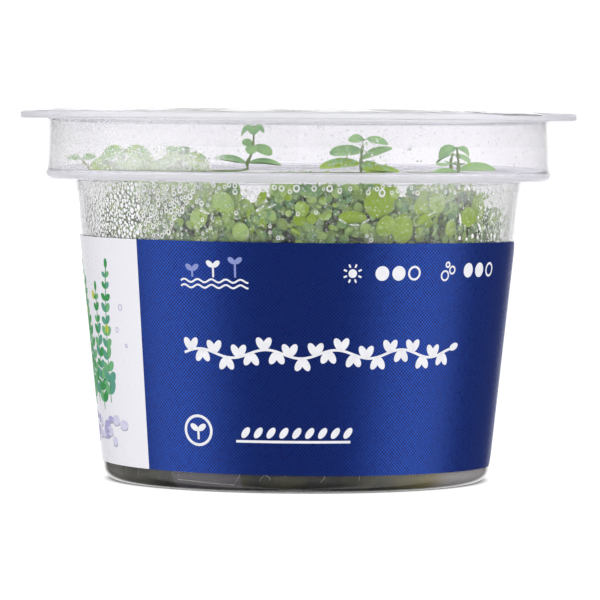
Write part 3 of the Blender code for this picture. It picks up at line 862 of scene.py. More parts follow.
# Each root at the front: turn and height where it starts, and where it ends.
FRONT_ROOTS = (
    (-15.4, 0.0036, -18.2, 0.0006),
    (-8.2, 0.0036, -10.4, 0.0010),
    (-9.4, 0.0024, -7.4, 0.0011),
    (-3.0, 0.0036, -3.1, 0.0016),
    (9.4, 0.0034, 7.4, 0.0009),
    (17.0, 0.0034, 19.3, 0.0011),
    (21.0, 0.0027, 30.0, 0.0025),
    (-37.5, 0.0008, -19.0, 0.0004),
)
root_stuff, root_tree, root_shader = new_material("fine_roots", ROOT_LIGHT, ROOT_ROUGH)
root_mix = blend_colours(clouds(root_tree, 700.0, 2.0), ROOT_DARK, ROOT_LIGHT)
link(root_mix, root_shader.inputs["Base Color"])
bump(clouds(root_tree, *ROOT_GRAIN), 0.3, 0.00005, root_shader)
back_starts = dice.uniform(*BACK_ROOT_TURNS, BACK_ROOTS)
back_roots = np.stack([back_starts, dice.uniform(*BACK_ROOT_TOPS, BACK_ROOTS),
                       back_starts + dice.normal(0, ROOT_SWERVE, BACK_ROOTS),
                       dice.uniform(*BACK_ROOT_FEET, BACK_ROOTS)], axis=1)
root_rows = np.concatenate([np.array(FRONT_ROOTS), back_roots])
start_turn, start_height, end_turn, end_height = (column[:, None] for column in root_rows.T)
share = np.linspace(0, 1, ROOT_STATIONS)[None]
root_turns = np.radians(start_turn + (end_turn - start_turn) * share
                        + ROOT_WAVE * np.sin(share * ROOT_WAVES + start_turn))
root_heights = GEL_BOTTOM + start_height + (end_height - start_height) * share
root_corner = np.clip(GEL_BOTTOM + BASE_ROUND - root_heights, 0.0, BASE_ROUND)
root_radius = (body_radius(np.maximum(root_heights, GEL_BOTTOM + BASE_ROUND), gel_wall)
               - BASE_ROUND + np.sqrt(BASE_ROUND ** 2 - root_corner ** 2) - ROOT_RADIUS * 0.5)
root_paths = np.stack([root_radius * np.sin(root_turns), -root_radius * np.cos(root_turns), root_heights],
                      axis=2)
root_thick = ROOT_RADIUS * np.linspace(1.0, ROOT_TIP, ROOT_STATIONS)[None].repeat(len(root_rows), axis=0)
roots = plant_piece("gel_roots", [(0, grow_tubes(root_paths, root_thick, ROOT_SIDES))], [root_stuff])

# The sprigs
# Eight shoots stand up out of the mat into the collar. Each is one thin stem with its round leaves in
# opposite pairs, drooping like small umbrellas at the top, and the stem and the leaves come off as pieces of
# their own. The stems are round tubes and the leaves are cupped blades.
SPRIG_STEM_RADIUS = 0.00028
SPRIG_STEM_STATIONS = 17
SPRIG_STEM_SIDES = 8
SPRIG_STEM_TAPER = (1.15, 0.7)
SPRIG_STEM_SWELL = 0.25
SPRIG_LEAF_CUP = 0.2
SPRIG_LEAF_TIP = 0.05
SPRIG_CLEAR = 0.0002

# Each sprig: its stem as points, and its leaves as share of the way up, heading, rise, length, width share,
# droop, how far the face tips to the front, and tone. Heading 0 is +X and 90 is +Y, away from the front.
SPRIGS = {
    "tall_sprig": (
        ((-0.0160, -0.0222, 0.0524), (-0.0090, -0.0221, 0.0527), (-0.0085, -0.0220, 0.0539),
         (-0.0081, -0.0220, 0.0548), (-0.0077, -0.0220, 0.0558), (-0.0075, -0.0220, 0.0572),
         (-0.0074, -0.0220, 0.0587), (-0.0074, -0.0220, 0.0606)),
        ((0.29, 180, 12, 0.0054, 0.42, 0.1, 22, 0.30), (0.30, -3, 4, 0.0056, 0.34, 0.3, 24, 0.35),
         (0.70, 180, 32, 0.0019, 0.85, 0.2, 60, 0.60), (0.70, -4, -22, 0.0034, 0.62, 0.2, 62, 0.65),
         (0.72, -104, -40, 0.0022, 0.95, 0.3, 0, 0.60), (0.99, 183, -8, 0.0027, 0.90, 1.2, 24, 0.20),
         (0.99, -4, -6, 0.0020, 0.95, 1.0, 24, 0.22), (0.99, -92, -34, 0.0017, 1.10, 0.5, 0, 0.25)),
    ),
    "bushy_sprig": (
        ((0.0105, -0.0200, 0.0512), (0.0104, -0.0202, 0.0541), (0.0106, -0.0200, 0.0565),
         (0.0110, -0.0200, 0.0585)),
        ((0.32, 181, -4, 0.0068, 0.32, 0.1, 48, 0.92), (0.34, -8, -30, 0.0044, 0.60, 0.2, 60, 0.97),
         (0.20, 0, -3, 0.0063, 0.30, 0.0, 35, 0.94), (0.62, 182, 0, 0.0053, 0.46, 0.3, 55, 0.45),
         (0.42, -4, 23, 0.0054, 0.42, 0.1, 36, 0.60), (0.97, 178, 6, 0.0026, 0.85, 0.3, 44, 0.40),
         (0.97, -5, -4, 0.0039, 0.56, 0.3, 40, 0.35)),
    ),
    "right_sprig": (
        ((0.0266, -0.0180, 0.0512), (0.0266, -0.0180, 0.0546), (0.0263, -0.0180, 0.0570)),
        ((0.20, 180, -2, 0.0044, 0.42, 0.1, 35, 0.60), (0.26, -3, 8, 0.0060, 0.36, 0.3, 38, 0.70),
         (0.97, 183, -8, 0.0038, 0.72, 1.2, 36, 0.30), (0.97, -3, -8, 0.0027, 0.75, 1.2, 36, 0.35)),
    ),
    "left_sprig": (
        ((-0.0288, -0.0120, 0.0512), (-0.0294, -0.0122, 0.0540), (-0.0290, -0.0120, 0.0562)),
        ((0.30, 184, 6, 0.0056, 0.80, 0.2, 50, 0.95), (0.30, -6, 6, 0.0056, 0.80, 0.2, 50, 0.90),
         (0.62, -64, -18, 0.0050, 0.88, 0.3, 30, 0.80), (0.66, 150, 10, 0.0046, 0.86, 0.3, 55, 0.82),
         (0.93, 178, -8, 0.0040, 0.80, 0.4, 52, 0.78), (0.93, -4, -8, 0.0042, 0.80, 0.4, 52, 0.84)),
    ),
    "mid_left_sprig": (
        ((-0.0190, -0.0140, 0.0512), (-0.0196, -0.0138, 0.0534), (-0.0194, -0.0140, 0.0550)),
        ((0.36, 182, 2, 0.0052, 0.70, 0.3, 50, 0.92), (0.36, -2, -4, 0.0050, 0.62, 0.3, 48, 0.95),
         (0.92, 176, -10, 0.0042, 0.76, 0.5, 50, 0.80), (0.92, -6, -14, 0.0048, 0.72, 0.5, 50, 0.86)),
    ),
    "edge_sprig": (
        ((-0.0342, -0.0040, 0.0512), (-0.0360, -0.0041, 0.0530), (-0.0372, -0.0040, 0.0545)),
        ((0.93, 172, 12, 0.0022, 0.80, 0.2, 40, 0.40), (0.93, -20, 12, 0.0026, 0.80, 0.2, 40, 0.50)),
    ),
    "back_left_sprig": (
        ((-0.0216, 0.0210, 0.0512), (-0.0210, 0.0214, 0.0540), (-0.0214, 0.0210, 0.0566)),
        ((0.45, 160, 4, 0.0046, 0.88, 0.3, 10, 0.55), (0.45, -20, 4, 0.0046, 0.88, 0.3, 10, 0.60),
         (0.94, 72, -14, 0.0036, 0.88, 0.6, 0, 0.40), (0.94, -108, -14, 0.0036, 0.88, 0.6, 0, 0.45)),
    ),
    "back_right_sprig": (
        ((0.0272, 0.0150, 0.0512), (0.0268, 0.0154, 0.0535), (0.0272, 0.0150, 0.0554)),
        ((0.45, 70, 4, 0.0044, 0.88, 0.3, 10, 0.55), (0.45, -112, 4, 0.0044, 0.88, 0.3, 0, 0.60),
         (0.94, 160, -14, 0.0036, 0.88, 0.6, 10, 0.45), (0.94, -18, -14, 0.0036, 0.88, 0.6, 10, 0.50)),
    ),
}

sprig_leaf = plant_material("sprig_leaf", (0.30, 0.56, 0.28), (0.46, 0.74, 0.32), (0.46, 0.68, 0.05),
                            glow=0.24, roughness=0.36, veins=0.25)
sprig_stem = plant_material("sprig_stem", (0.30, 0.42, 0.16), (0.50, 0.62, 0.24), (0.64, 0.70, 0.30),
                            glow=0.25, roughness=0.42, veins=0.0)


def smooth_route(points, stations):
    """Points evenly along a smooth curve through the given ones."""
    knots = np.array(points)
    knots = np.concatenate([2 * knots[:1] - knots[1:2], knots, 2 * knots[-1:] - knots[-2:-1]])
    route = []
    for place in np.linspace(0, len(points) - 1, stations):
        cell = min(int(place), len(points) - 2)
        t = place - cell
        before, start, end, after = knots[cell:cell + 4]
        bend = 2 * before - 5 * start + 4 * end - after
        twist = 3 * start - before - 3 * end + after
        route.append(0.5 * (2 * start + (end - before) * t + bend * t ** 2 + twist * t ** 3))
    return np.array(route)


for sprig, (stem_points, leaf_rows) in SPRIGS.items():
    route = smooth_route(stem_points, SPRIG_STEM_STATIONS)
    swell = 1.0 + SPRIG_STEM_SWELL * np.cos(np.linspace(0, 1, SPRIG_STEM_STATIONS) * math.pi * 6)
    thin = SPRIG_STEM_RADIUS * swell * np.linspace(*SPRIG_STEM_TAPER, SPRIG_STEM_STATIONS)
    tube = grow_tubes(route[None], thin[None], SPRIG_STEM_SIDES)
    stem = plant_piece(f"{sprig}_shoot", [(0, tube)], [sprig_stem])
    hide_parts(f"{sprig}_stem")
    climbed, heading, rise, length, width, droop, tip_front, tone = np.array(leaf_rows).T
    spots = climbed * (SPRIG_STEM_STATIONS - 1)
    cells = np.minimum(spots.astype(int), SPRIG_STEM_STATIONS - 2)
    feet = route[cells] + (route[cells + 1] - route[cells]) * (spots - cells)[:, None]
    heading, rise, tip_front = np.radians(heading), np.radians(rise), np.radians(tip_front)
    along = np.stack([np.cos(heading) * np.cos(rise), np.sin(heading) * np.cos(rise), np.sin(rise)], axis=1)
    up = np.stack([np.zeros_like(tip_front), -np.sin(tip_front), np.cos(tip_front)], axis=1)
    up += dice.normal(0, SPRIG_LEAF_TIP, up.shape)
    feet += along * SPRIG_STEM_RADIUS * 0.5
    blades = grow_blades(fine_blade, feet, along, up, length, width, SPRIG_LEAF_CUP, droop, tone)
    blades = (keep_inside(blades[0], SPRIG_CLEAR), blades[1], blades[2])
    leaves = plant_piece(f"{sprig}_leaves", [(0, blades)], [sprig_leaf])
    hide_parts(*[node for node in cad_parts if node.startswith(f"{sprig}_leaf_")])

# The condensation
# Water that the plants breathed out, gathered as drops on the inside of the wall. The drops are domes of
# water that hold on by their flat side: crowded at the front left, in a row under the ledge, and scattered
# elsewhere. Most have a pale ring painted on their flat side, a painted highlight for the light that real
# drops catch at their rim.
DROP_GAP = 0.00002
DROP_TILT = math.radians(80)
DROP_SAG = 0.12
DROP_LONGER = 0.25
DROP_APART = 1.04
DROP_WALL_RADIUS = 0.0375
SMALL_DROP = 0.00025
SMALL_DOME = (8, 2)
LARGE_DOME = (12, 3)
CROWD_TOP = 0.0504
CROWD_EDGE_TOP = -25.5
CROWD_EDGE_SLANT = 12.0 / 0.0091
PAST_CROWD = 0.05
# Inner size and shift of the painted highlight ring on a drop's flat side.
RIM_SHARE = 0.54
RIM_SHIFT = 0.10
WATER_IOR = 1.333
WATER_GRAIN = (2200.0, 1.0)
WATER_GRAIN_STRENGTH = 0.05
WATER_GRAIN_DEPTH = 0.00005


def water_material(name, colour, roughness, clear):
    """Water, or the painted highlight ring on a drop's flat side, which is hardly clear."""
    material, tree, shader = new_material(
        name, colour, roughness, IOR=WATER_IOR, Transmission_Weight=clear)
    bump(clouds(tree, *WATER_GRAIN), WATER_GRAIN_STRENGTH, WATER_GRAIN_DEPTH, shader)
    return material


water = water_material("water_drops", (0.98, 0.99, 1.0), roughness=0.0, clear=1.0)
# The painted highlight ring: a whitish, hardly clear ring that stands for the light drops catch at their rim.
drop_painted_glint = water_material("water_painted_glints", (0.95, 0.97, 0.91), roughness=0.1, clear=0.1)


def scatter(taken, patches, share_kept=None):
    """Drops as (turn, height, radius) that keep clear of each other and of those taken already. Each patch
    is how many to try, ranges of turn, height and radius, and how strongly small ones are favoured."""
    for count, turn_range, height_range, size_range, favour in patches:
        turns, heights = dice.uniform(*turn_range, count), dice.uniform(*height_range, count)
        for turn, height, pick, keep in zip(turns, heights, dice.random(count), dice.random(count)):
            radius = size_range[0] + (size_range[1] - size_range[0]) * pick ** (2 * favour)
            apart = np.hypot(np.radians(turn - taken[:, 0]) * DROP_WALL_RADIUS, height - taken[:, 1])
            kept = share_kept is None or keep <= share_kept(turn, height)
            if kept and not np.any(apart < (radius + taken[:, 2]) * DROP_APART):
                taken = np.vstack([taken, (turn, height, radius)])
    return taken


def dome_template(sides, rings):
    """A dome of water of radius one, flat side down, with a painted highlight ring: its points, faces and
    their slots.
    """
    points, faces, slots = [(0.0, 0.0, 0.0)], [], []
    ball = 1.0 / math.sin(DROP_TILT)
    turns = [2 * math.pi * side / sides for side in range(sides)]
    points += [(RIM_SHARE * math.cos(turn), RIM_SHIFT + RIM_SHARE * math.sin(turn), 0.0) for turn in turns]
    for ring in range(rings):
        tilt = DROP_TILT * (1 - ring / rings)
        points += [(ball * math.sin(tilt) * math.cos(turn), ball * math.sin(tilt) * math.sin(turn),
                    ball * (math.cos(tilt) - math.cos(DROP_TILT))) for turn in turns]
    points.append((0.0, 0.0, ball * (1 - math.cos(DROP_TILT))))
    for side in range(sides):
        beside = (side + 1) % sides
        faces.append([0, 1 + beside, 1 + side])
        slots.append(0)
        for ring in range(rings):
            base = 1 + ring * sides
            faces.append([base + side, base + beside, base + beside + sides, base + side + sides])
            slots.append(0 if ring else 1)
        last = 1 + rings * sides
        faces.append([last + side, last + beside, len(points) - 1])
        slots.append(0)
    return np.array(points), faces, slots


def drops_piece(name, drops, longer=None, leaning=None, painted_glint_share=1.0):
    """One mesh of drops on the inside of the wall, some drawn out to a streak that leans clockwise from up.
    Painted glint share is the share of them with a painted highlight ring, where the others are clear
    throughout."""
    longer = 1.0 + DROP_LONGER * dice.random(len(drops)) if longer is None else longer
    leaning = np.zeros(len(drops)) if leaning is None else np.radians(leaning)
    small = drops[:, 2] < SMALL_DROP
    spots, faces, slots, rims, offset = [], [], [], [], 0
    for chosen, (sides, rings) in ((small, SMALL_DOME), (~small, LARGE_DOME)):
        points, shapes, kinds = dome_template(sides, rings)
        turn, height, radius = (column[:, None] for column in drops[chosen].T)
        long, lean = longer[chosen][:, None], leaning[chosen][:, None]
        sag = DROP_SAG * (1 - points[:, 1]) * points[:, 2]
        sideways, along = radius * points[:, 0], radius * (points[:, 1] * long - sag)
        across = sideways * np.cos(lean) + along * np.sin(lean)
        raised = along * np.cos(lean) - sideways * np.sin(lean)
        place, inward, _, _ = inner_wall(turn + np.degrees(across / WALL_RADIUS), height + raised)
        spots.append((place + inward * (DROP_GAP + radius * points[:, 2])[..., None]).reshape(-1, 3))
        faces += [[corner + offset + len(points) * drop for corner in face]
                  for drop in range(chosen.sum()) for face in shapes]
        # Which drops get the painted highlight ring.
        painted_glints = (dice.random(chosen.sum()) < painted_glint_share).astype(int)
        slots += [kind * painted_light for painted_light in painted_glints for kind in kinds]
        rim = np.zeros(len(points), bool)
        rim[1 + sides:1 + 2 * sides] = True
        rims.append(np.tile(rim, chosen.sum()))
        offset += len(points) * int(chosen.sum())
    piece = new_piece(name, np.concatenate(spots), faces, water)
    piece.data.materials.append(drop_painted_glint)
    piece.data.polygons.foreach_set("material_index", slots)
    sharpen(piece, np.concatenate(rims))
    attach(piece, "root")
    return piece


def crowded_left(turn, height):
    """How crowded the drops are at the front left: up to a slanting edge in the mat's band."""
    edge = CROWD_EDGE_TOP - CROWD_EDGE_SLANT * (CROWD_TOP - height)
    return 1.0 if turn < edge else PAST_CROWD


nothing = np.zeros((0, 3))
left_drops = scatter(nothing, (
    (800, (-88, -24), (0.0411, 0.0508), (0.00030, 0.00050), 0.7),
    (4500, (-86, -22), (0.0408, 0.0509), (0.00018, 0.00032), 0.6),
    (3000, (-80, -22), (0.0408, 0.0509), (0.00012, 0.00018), 0.8),
), crowded_left)
drops_piece("drops_front_left", left_drops, painted_glint_share=0.85)

# Drops at the front that can be told apart: turn, height and radius.
FRONT_DROPS = (
    (21.6, 0.0496, 0.00060), (-15.8, 0.0462, 0.00036), (-7.1, 0.0441, 0.00028), (-7.1, 0.0431, 0.00026),
    (-5.0, 0.0422, 0.00036), (-3.8, 0.0422, 0.00026), (18.0, 0.0426, 0.00030), (19.2, 0.0419, 0.00036),
    (47.0, 0.0421, 0.00034), (49.8, 0.0419, 0.00028), (52.2, 0.0424, 0.00036), (63.6, 0.0423, 0.00040),
    (67.6, 0.0431, 0.00042), (0.0, 0.0461, 0.00034), (4.6, 0.0464, 0.00030), (-4.1, 0.0503, 0.00050),
    (-0.4, 0.0503, 0.00056), (4.0, 0.0503, 0.00044), (7.9, 0.0503, 0.00056), (13.2, 0.0503, 0.00034),
    (26.0, 0.0500, 0.00038), (47.5, 0.0503, 0.00034), (51.0, 0.0503, 0.00040), (54.5, 0.0503, 0.00036),
)
front_drops = scatter(np.vstack([left_drops, np.array(FRONT_DROPS)]), (
    (110, (-24, 72), (0.0496, 0.0508), (0.00022, 0.00046), 0.5),
    (1300, (-30, 84), (0.0408, 0.0506), (0.00005, 0.00014), 1.6),
    (800, (54, 84), (0.0410, 0.0508), (0.00012, 0.00034), 1.6),
))
drops_piece("drops_front_right", front_drops[len(left_drops):])

# Streaks where water has run together along leaf rims and in the corner of the rim: turn, height, half its
# width, how many times longer than wide, and lean clockwise from up.
STREAKS = (
    (11.4, 0.0450, 0.00016, 5.0, 120), (14.6, 0.0444, 0.00016, 5.5, 92), (17.6, 0.0450, 0.00015, 5.0, 62),
    (46.6, 0.0452, 0.00022, 5.5, -14), (55.2, 0.0438, 0.00026, 3.6, -38), (60.6, 0.0456, 0.00018, 5.0, 40),
    (58.4, 0.0462, 0.00014, 4.0, 30), (-24.4, 0.0463, 0.00020, 5.0, 110), (-22.4, 0.0456, 0.00018, 3.4, 20),
    (-9.6, 0.0470, 0.00022, 4.2, 55), (-6.6, 0.0474, 0.00016, 5.0, 66), (36.6, 0.0462, 0.00012, 6.0, 66),
)
RIM_STREAK_STEP = 2.3
RIM_STREAK_HEIGHT = 0.0609
RIM_STREAK_WIDTH = 0.00007
RIM_STREAK_LONGER = (6.0, 12.0)
rim_turns = np.concatenate([np.arange(-47, -6, RIM_STREAK_STEP), np.arange(4, 22, RIM_STREAK_STEP)])
count = len(rim_turns)
rim_streaks = np.stack([rim_turns + dice.normal(0, 0.3, count), np.full(count, RIM_STREAK_HEIGHT),
                        np.full(count, RIM_STREAK_WIDTH), dice.uniform(*RIM_STREAK_LONGER, count),
                        np.full(count, 90.0)], axis=1)
streaks = np.concatenate([np.array(STREAKS), rim_streaks])
# Every streak gets the painted highlight ring.
drops_piece("water_streaks", streaks[:, :3], streaks[:, 3], streaks[:, 4])

drops_piece("drops_back", scatter(nothing, (
    (900, (84, 116), (0.0100, 0.0506), (0.00014, 0.00060), 1.6),
    (1500, (116, 268), (0.0410, 0.0507), (0.00014, 0.00050), 1.6),
)))

# Drops in the collar that can be told apart, and then the patches of them that can't.
COLLAR_DROPS = (
    (-43.6, 0.0600, 0.00022), (-39.8, 0.0586, 0.00030), (25.4, 0.0569, 0.00034), (26.6, 0.0587, 0.00020),
    (27.4, 0.0549, 0.00018), (28.3, 0.0549, 0.00018), (15.2, 0.0577, 0.00050),
)
collar_drops = scatter(np.array(COLLAR_DROPS), (
    (1100, (-78, -46), (0.0532, 0.0615), (0.00010, 0.00022), 1.6),
    (260, (-52, -20), (0.0531, 0.0572), (0.00014, 0.00032), 1.6),
    (500, (-50, 42), (0.0532, 0.0615), (0.00004, 0.00009), 1.6),
    (160, (4, 20), (0.0540, 0.0590), (0.00008, 0.00020), 1.6),
    (500, (100, 260), (0.0532, 0.0618), (0.00008, 0.00030), 1.6),
))
drops_piece("drops_collar", collar_drops, painted_glint_share=0.2)

# The mist
# Breath-fine fog on the inside of the wall between the drops: a veil under the ledge at both sides, a patch
# in the collar at the front left, and a breath of it elsewhere. It is water too small to see as drops, so it
# only pales what it covers. It is a skin on the wall, and each share below is how much of it is covered.
MIST_THICK = 0.00003
MIST_OFF_WALL = 0.000005
MIST_LOW = 0.0095
MIST_COLOUR = (0.95, 0.965, 0.93)
MIST_ROUGH = 0.85
MIST_SHINE = 0.1
BAND_TOP = (LEDGE_TOP - 0.0002, LEDGE_TOP - 0.0012)
LEFT_BAND_SHARE = 0.04
LEFT_BAND_SOFT = 3.0
LEFT_BAND_FOOT = 0.0413
LEFT_BAND_SLANT = 1300.0
LEFT_BAND_TURN = -37.5
VEIL_HEIGHTS = (0.0450, 0.0505)
VEIL_SHARE = 0.22
VEIL_LEFT = (-14.0, -28.0)
VEIL_RIGHT = (24.0, 34.0)
VEIL_SIDES = 0.6
COLLAR_LEFT = (-20.0, -40.0)
COLLAR_LEFT_SHARE = 0.08
RIGHT_SIDE = (52.0, 70.0)
RIGHT_SIDE_SHARE = 0.05
FOG_TURN = -34.0
FOG_REACH = (20.0, 8.0)
FOG_SHARE = 0.36
FOG_HEIGHTS = (0.0590, 0.0545)
FOG_EDGE = {"scale": 300.0, "detail": 3.0, "least": -5.0, "most": 5.0}
BREATH = {"scale": 260.0, "detail": 4.0, "high": 0.75, "most": 0.02}
LACE = {"scale": 1500.0, "detail": 3.0, "low": 0.56, "high": 0.72, "most": 0.10}
MIST_GRAIN = {"scale": 2600.0, "least": 0.7, "most": 1.3}

mist_stuff, mist_tree, mist_shader = new_material(
    "wall_mist", MIST_COLOUR, MIST_ROUGH, Specular_IOR_Level=MIST_SHINE)
mist_place = place_group(mist_tree, round_cup)
mist_turn, mist_height = mist_place.outputs["Turn"], mist_place.outputs["Height"]
in_band = ramp(mist_height, *BAND_TOP)
in_collar = calculate("SUBTRACT", 1.0, in_band)
above_foot = calculate("SUBTRACT", mist_height, LEFT_BAND_FOOT)
left_edge = calculate("MULTIPLY_ADD", above_foot, LEFT_BAND_SLANT, LEFT_BAND_TURN)
past_edge = calculate("SUBTRACT", mist_turn, left_edge)
left_band = ramp(past_edge, LEFT_BAND_SOFT, -LEFT_BAND_SOFT, 0.0, LEFT_BAND_SHARE)
left_band = calculate("MULTIPLY", left_band, in_band)
veil = calculate("MULTIPLY", ramp(mist_height, *VEIL_HEIGHTS, 0.0, VEIL_SHARE), in_band)
beside = calculate("MAXIMUM", ramp(mist_turn, *VEIL_LEFT, 0.0, VEIL_SIDES),
                   ramp(mist_turn, *VEIL_RIGHT, 0.0, VEIL_SIDES))
veil = calculate("MULTIPLY", veil, beside)
left_collar = ramp(mist_turn, *COLLAR_LEFT, 0.0, COLLAR_LEFT_SHARE)
left_collar = calculate("MULTIPLY", left_collar, in_collar)
right_side = ramp(mist_turn, *RIGHT_SIDE, 0.0, RIGHT_SIDE_SHARE)
fog_turn = calculate("ABSOLUTE", calculate("SUBTRACT", mist_turn, FOG_TURN))
fog_turn = calculate("ADD", fog_turn, clouds(mist_tree, **FOG_EDGE))
fog = calculate("MULTIPLY", ramp(fog_turn, *FOG_REACH, 0.0, FOG_SHARE),
                ramp(mist_height, *FOG_HEIGHTS))
left_collar = calculate("MULTIPLY", calculate("MAXIMUM", left_collar, fog), in_collar)
left_band = calculate("MAXIMUM", left_band, veil)
mist_left = calculate("ADD", left_band, left_collar)
mist_right = calculate("ADD", right_side, clouds(mist_tree, **BREATH))
mist_total = calculate("ADD", mist_left, mist_right)
lace = calculate("MULTIPLY", clouds(mist_tree, **LACE), in_band)
mist_total = calculate("MULTIPLY", mist_total, clouds(mist_tree, **MIST_GRAIN))
link(calculate("ADD", mist_total, lace), mist_shader.inputs["Alpha"])

body_line = [(body_radius(height, BODY_WALL) - MIST_OFF_WALL, height)
             for height in np.linspace(MIST_LOW, LEDGE_TOP - CORNER_ROUND, 12)]
collar_line = [(collar_radius(height, COLLAR_WALL) - MIST_OFF_WALL, height)
               for height in np.linspace(LEDGE_TOP + COLLAR_ROUND / 2, CUP_HEIGHT - CORNER_ROUND, 6)]


def turned_bands(name, lines, thick, material, steps=TURN_STEPS):
    """Thin closed bands turned about Z, each on a line of (radius, height) points and going inwards."""
    vertices, faces = [], []
    turns = np.linspace(0.0, 2 * math.pi, steps, endpoint=False)
    for line in lines:
        loop = line + [(radius - thick, height) for radius, height in reversed(line)]
        base, count = len(vertices), len(loop)
        vertices += [(radius * math.cos(turn), radius * math.sin(turn), height)
                     for radius, height in loop for turn in turns]
        for ring in range(count):
            here, above = base + ring * steps, base + (ring + 1) % count * steps
            for step in range(steps):
                beside = (step + 1) % steps
                faces.append((here + step, here + beside, above + beside, above + step))
    return new_piece(name, vertices, faces, material)


mist = turned_bands("wall_mist", [body_line, collar_line], MIST_THICK, mist_stuff)
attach(mist, "root")

# The lid film
# A thin clear lidding film, heat-sealed to the flange all the way round, with a short rounded peel tab at the
# front right that hangs down a little. Away from the seal it lies loose, in soft wrinkles. It is one sheet,
# given its thickness.
FILM_RADIUS = 0.0471
FILM_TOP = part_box("lid_film")[1].z
FILM_THICK = 0.00012
FILM_RINGS = 26
FILM_STEPS = 240
FILM_SAG = 0.00022
FILM_LOOSE_WAVE = 0.00010
FILM_SEALED_LIFT = 0.00003
FILM_SEALED_WAVES = ((0.00002, 9, 0.0), (0.00003, 23, 1.0))
SEAL_INNER = 0.0432
SEAL_BLEND = 0.0012
TAB_HEADING = math.radians(-43.0)
TAB_WIDTH = 0.013
TAB_REACH = 0.0040
TAB_DROP = 0.0007
TAB_SPREAD = 0.16
FILM_TINT = (0.99, 0.985, 1.0)
FILM_IOR = 1.45
FILM_CLEAR = 0.95
FILM_ROUGH = (0.02, 0.10)
FILM_HAZE = (70.0, 3.0, 0.35, 0.7)
LONG_CREASES = {"scale": 55.0, "detail": 3.0, "low": 0.0, "high": 1.0, "stretch": (1.0, 0.4, 1.0)}
SHORT_CREASES = {"scale": 130.0, "low": 0.0, "high": 1.0, "stretch": (0.5, 1.0, 1.0)}
CREASE_STRENGTH = 0.14
CREASE_DEPTH = 0.0012

film_stuff, film_tree, film_shader = new_material(
    "lid_film_clear", FILM_TINT, FILM_ROUGH[0], IOR=FILM_IOR, Transmission_Weight=FILM_CLEAR)
film_creases = calculate("ADD", clouds(film_tree, **LONG_CREASES), clouds(film_tree, **SHORT_CREASES))
bump(film_creases, CREASE_STRENGTH, CREASE_DEPTH, film_shader)
link(clouds(film_tree, *FILM_HAZE, *FILM_ROUGH), film_shader.inputs["Roughness"])


def film_edge(turn):
    """How far the film reaches at a heading: round, with a rounded tab."""
    off = (turn - TAB_HEADING + math.pi) % (2 * math.pi) - math.pi
    side = abs(FILM_RADIUS * math.sin(off)) / (TAB_WIDTH / 2)
    if abs(off) > 1.0 or side >= 1.0:
        return FILM_RADIUS
    return FILM_RADIUS + TAB_REACH * (1 - side ** 4) ** 0.5


film_points, film_faces = [(0.0, 0.0, FILM_TOP - FILM_SAG)], []
for ring in range(1, FILM_RINGS + 1):
    share = (ring / FILM_RINGS) ** 0.75
    for step in range(FILM_STEPS):
        turn = 2 * math.pi * step / FILM_STEPS
        reach = film_edge(turn) * share
        sealed = min(1.0, max(0.0, (reach - SEAL_INNER) / SEAL_BLEND))
        wrinkle = math.sin(3 * turn + 40 * reach) * math.cos(5 * turn - 210 * reach)
        loose = FILM_TOP - FILM_SAG + FILM_LOOSE_WAVE * wrinkle
        tight = CUP_HEIGHT + FILM_SEALED_LIFT
        for size, waves, start in FILM_SEALED_WAVES:
            tight += size * math.sin(waves * turn + start)
        height = loose * (1 - sealed) + tight * sealed
        over = max(0.0, reach - FLANGE_RADIUS) / TAB_REACH
        height += FILM_SAG * sealed * math.exp(-((turn - 2 * math.pi - TAB_HEADING) / TAB_SPREAD) ** 2)
        height -= TAB_DROP * over ** 1.4
        film_points.append((reach * math.cos(turn), reach * math.sin(turn), height))
for step in range(FILM_STEPS):
    beside = (step + 1) % FILM_STEPS
    film_faces.append((0, 1 + step, 1 + beside))
    for ring in range(FILM_RINGS - 1):
        here = 1 + ring * FILM_STEPS
        outer = here + FILM_STEPS
        film_faces.append((here + step, outer + step, outer + beside, here + beside))
film = new_piece("lidding_film", film_points, film_faces, film_stuff)
film.data.materials.append(thick)
skin = film.modifiers.new("thickness", "SOLIDIFY")
skin.material_offset_rim = 1
skin.thickness = FILM_THICK
skin.offset = 0.0
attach(film, "root")
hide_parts("lid_film")

# The label
# One self-adhesive film label wrapped most of the way round the taper, with rounded corners. Its front is
# printed navy in a fine diagonal screen of satin blue specks, and from the front left round to the back it is
# left white. It is a thin closed slab bent round the wall.
LABEL_THICK = 0.00011
LABEL_OFF_WALL = 0.00004
LABEL_FOOT = 0.0030
LABEL_HEIGHT = 0.0384
LABEL_RIGHT = 84.0
LABEL_SPAN = 330.0
LABEL_DROP_PER_DEGREE = 0.0000035
LABEL_CORNER = 0.0028
LABEL_COLUMNS = 260
LABEL_CORNER_COLUMNS = 12
LABEL_ROWS = 16
LABEL_MIDDLE_RADIUS = 0.0350
BLUE_EDGE_TOP = -45.9
BLUE_EDGE_FOOT = -47.6
BLUE_END = 100.0
SCREEN_PITCH = 0.00062
SPECK_EDGE = 0.45
SPECK_METAL = 0.95
SPECK_DEPTH = 0.00004
LABEL_WHITE = (0.80, 0.795, 0.845)
LABEL_SHINE = 0.25
LABEL_ROUGH = {"scale": 1500.0, "least": 0.27, "most": 0.35}
INK_GRAIN = {"scale": 1500.0, "low": 0.0, "high": 1.0, "least": -0.35, "most": 0.35}
BACKING_ROUGH = 0.6
NAVY = (0.0020, 0.0055, 0.112)
SATIN_BLUE = (0.028, 0.098, 0.49)

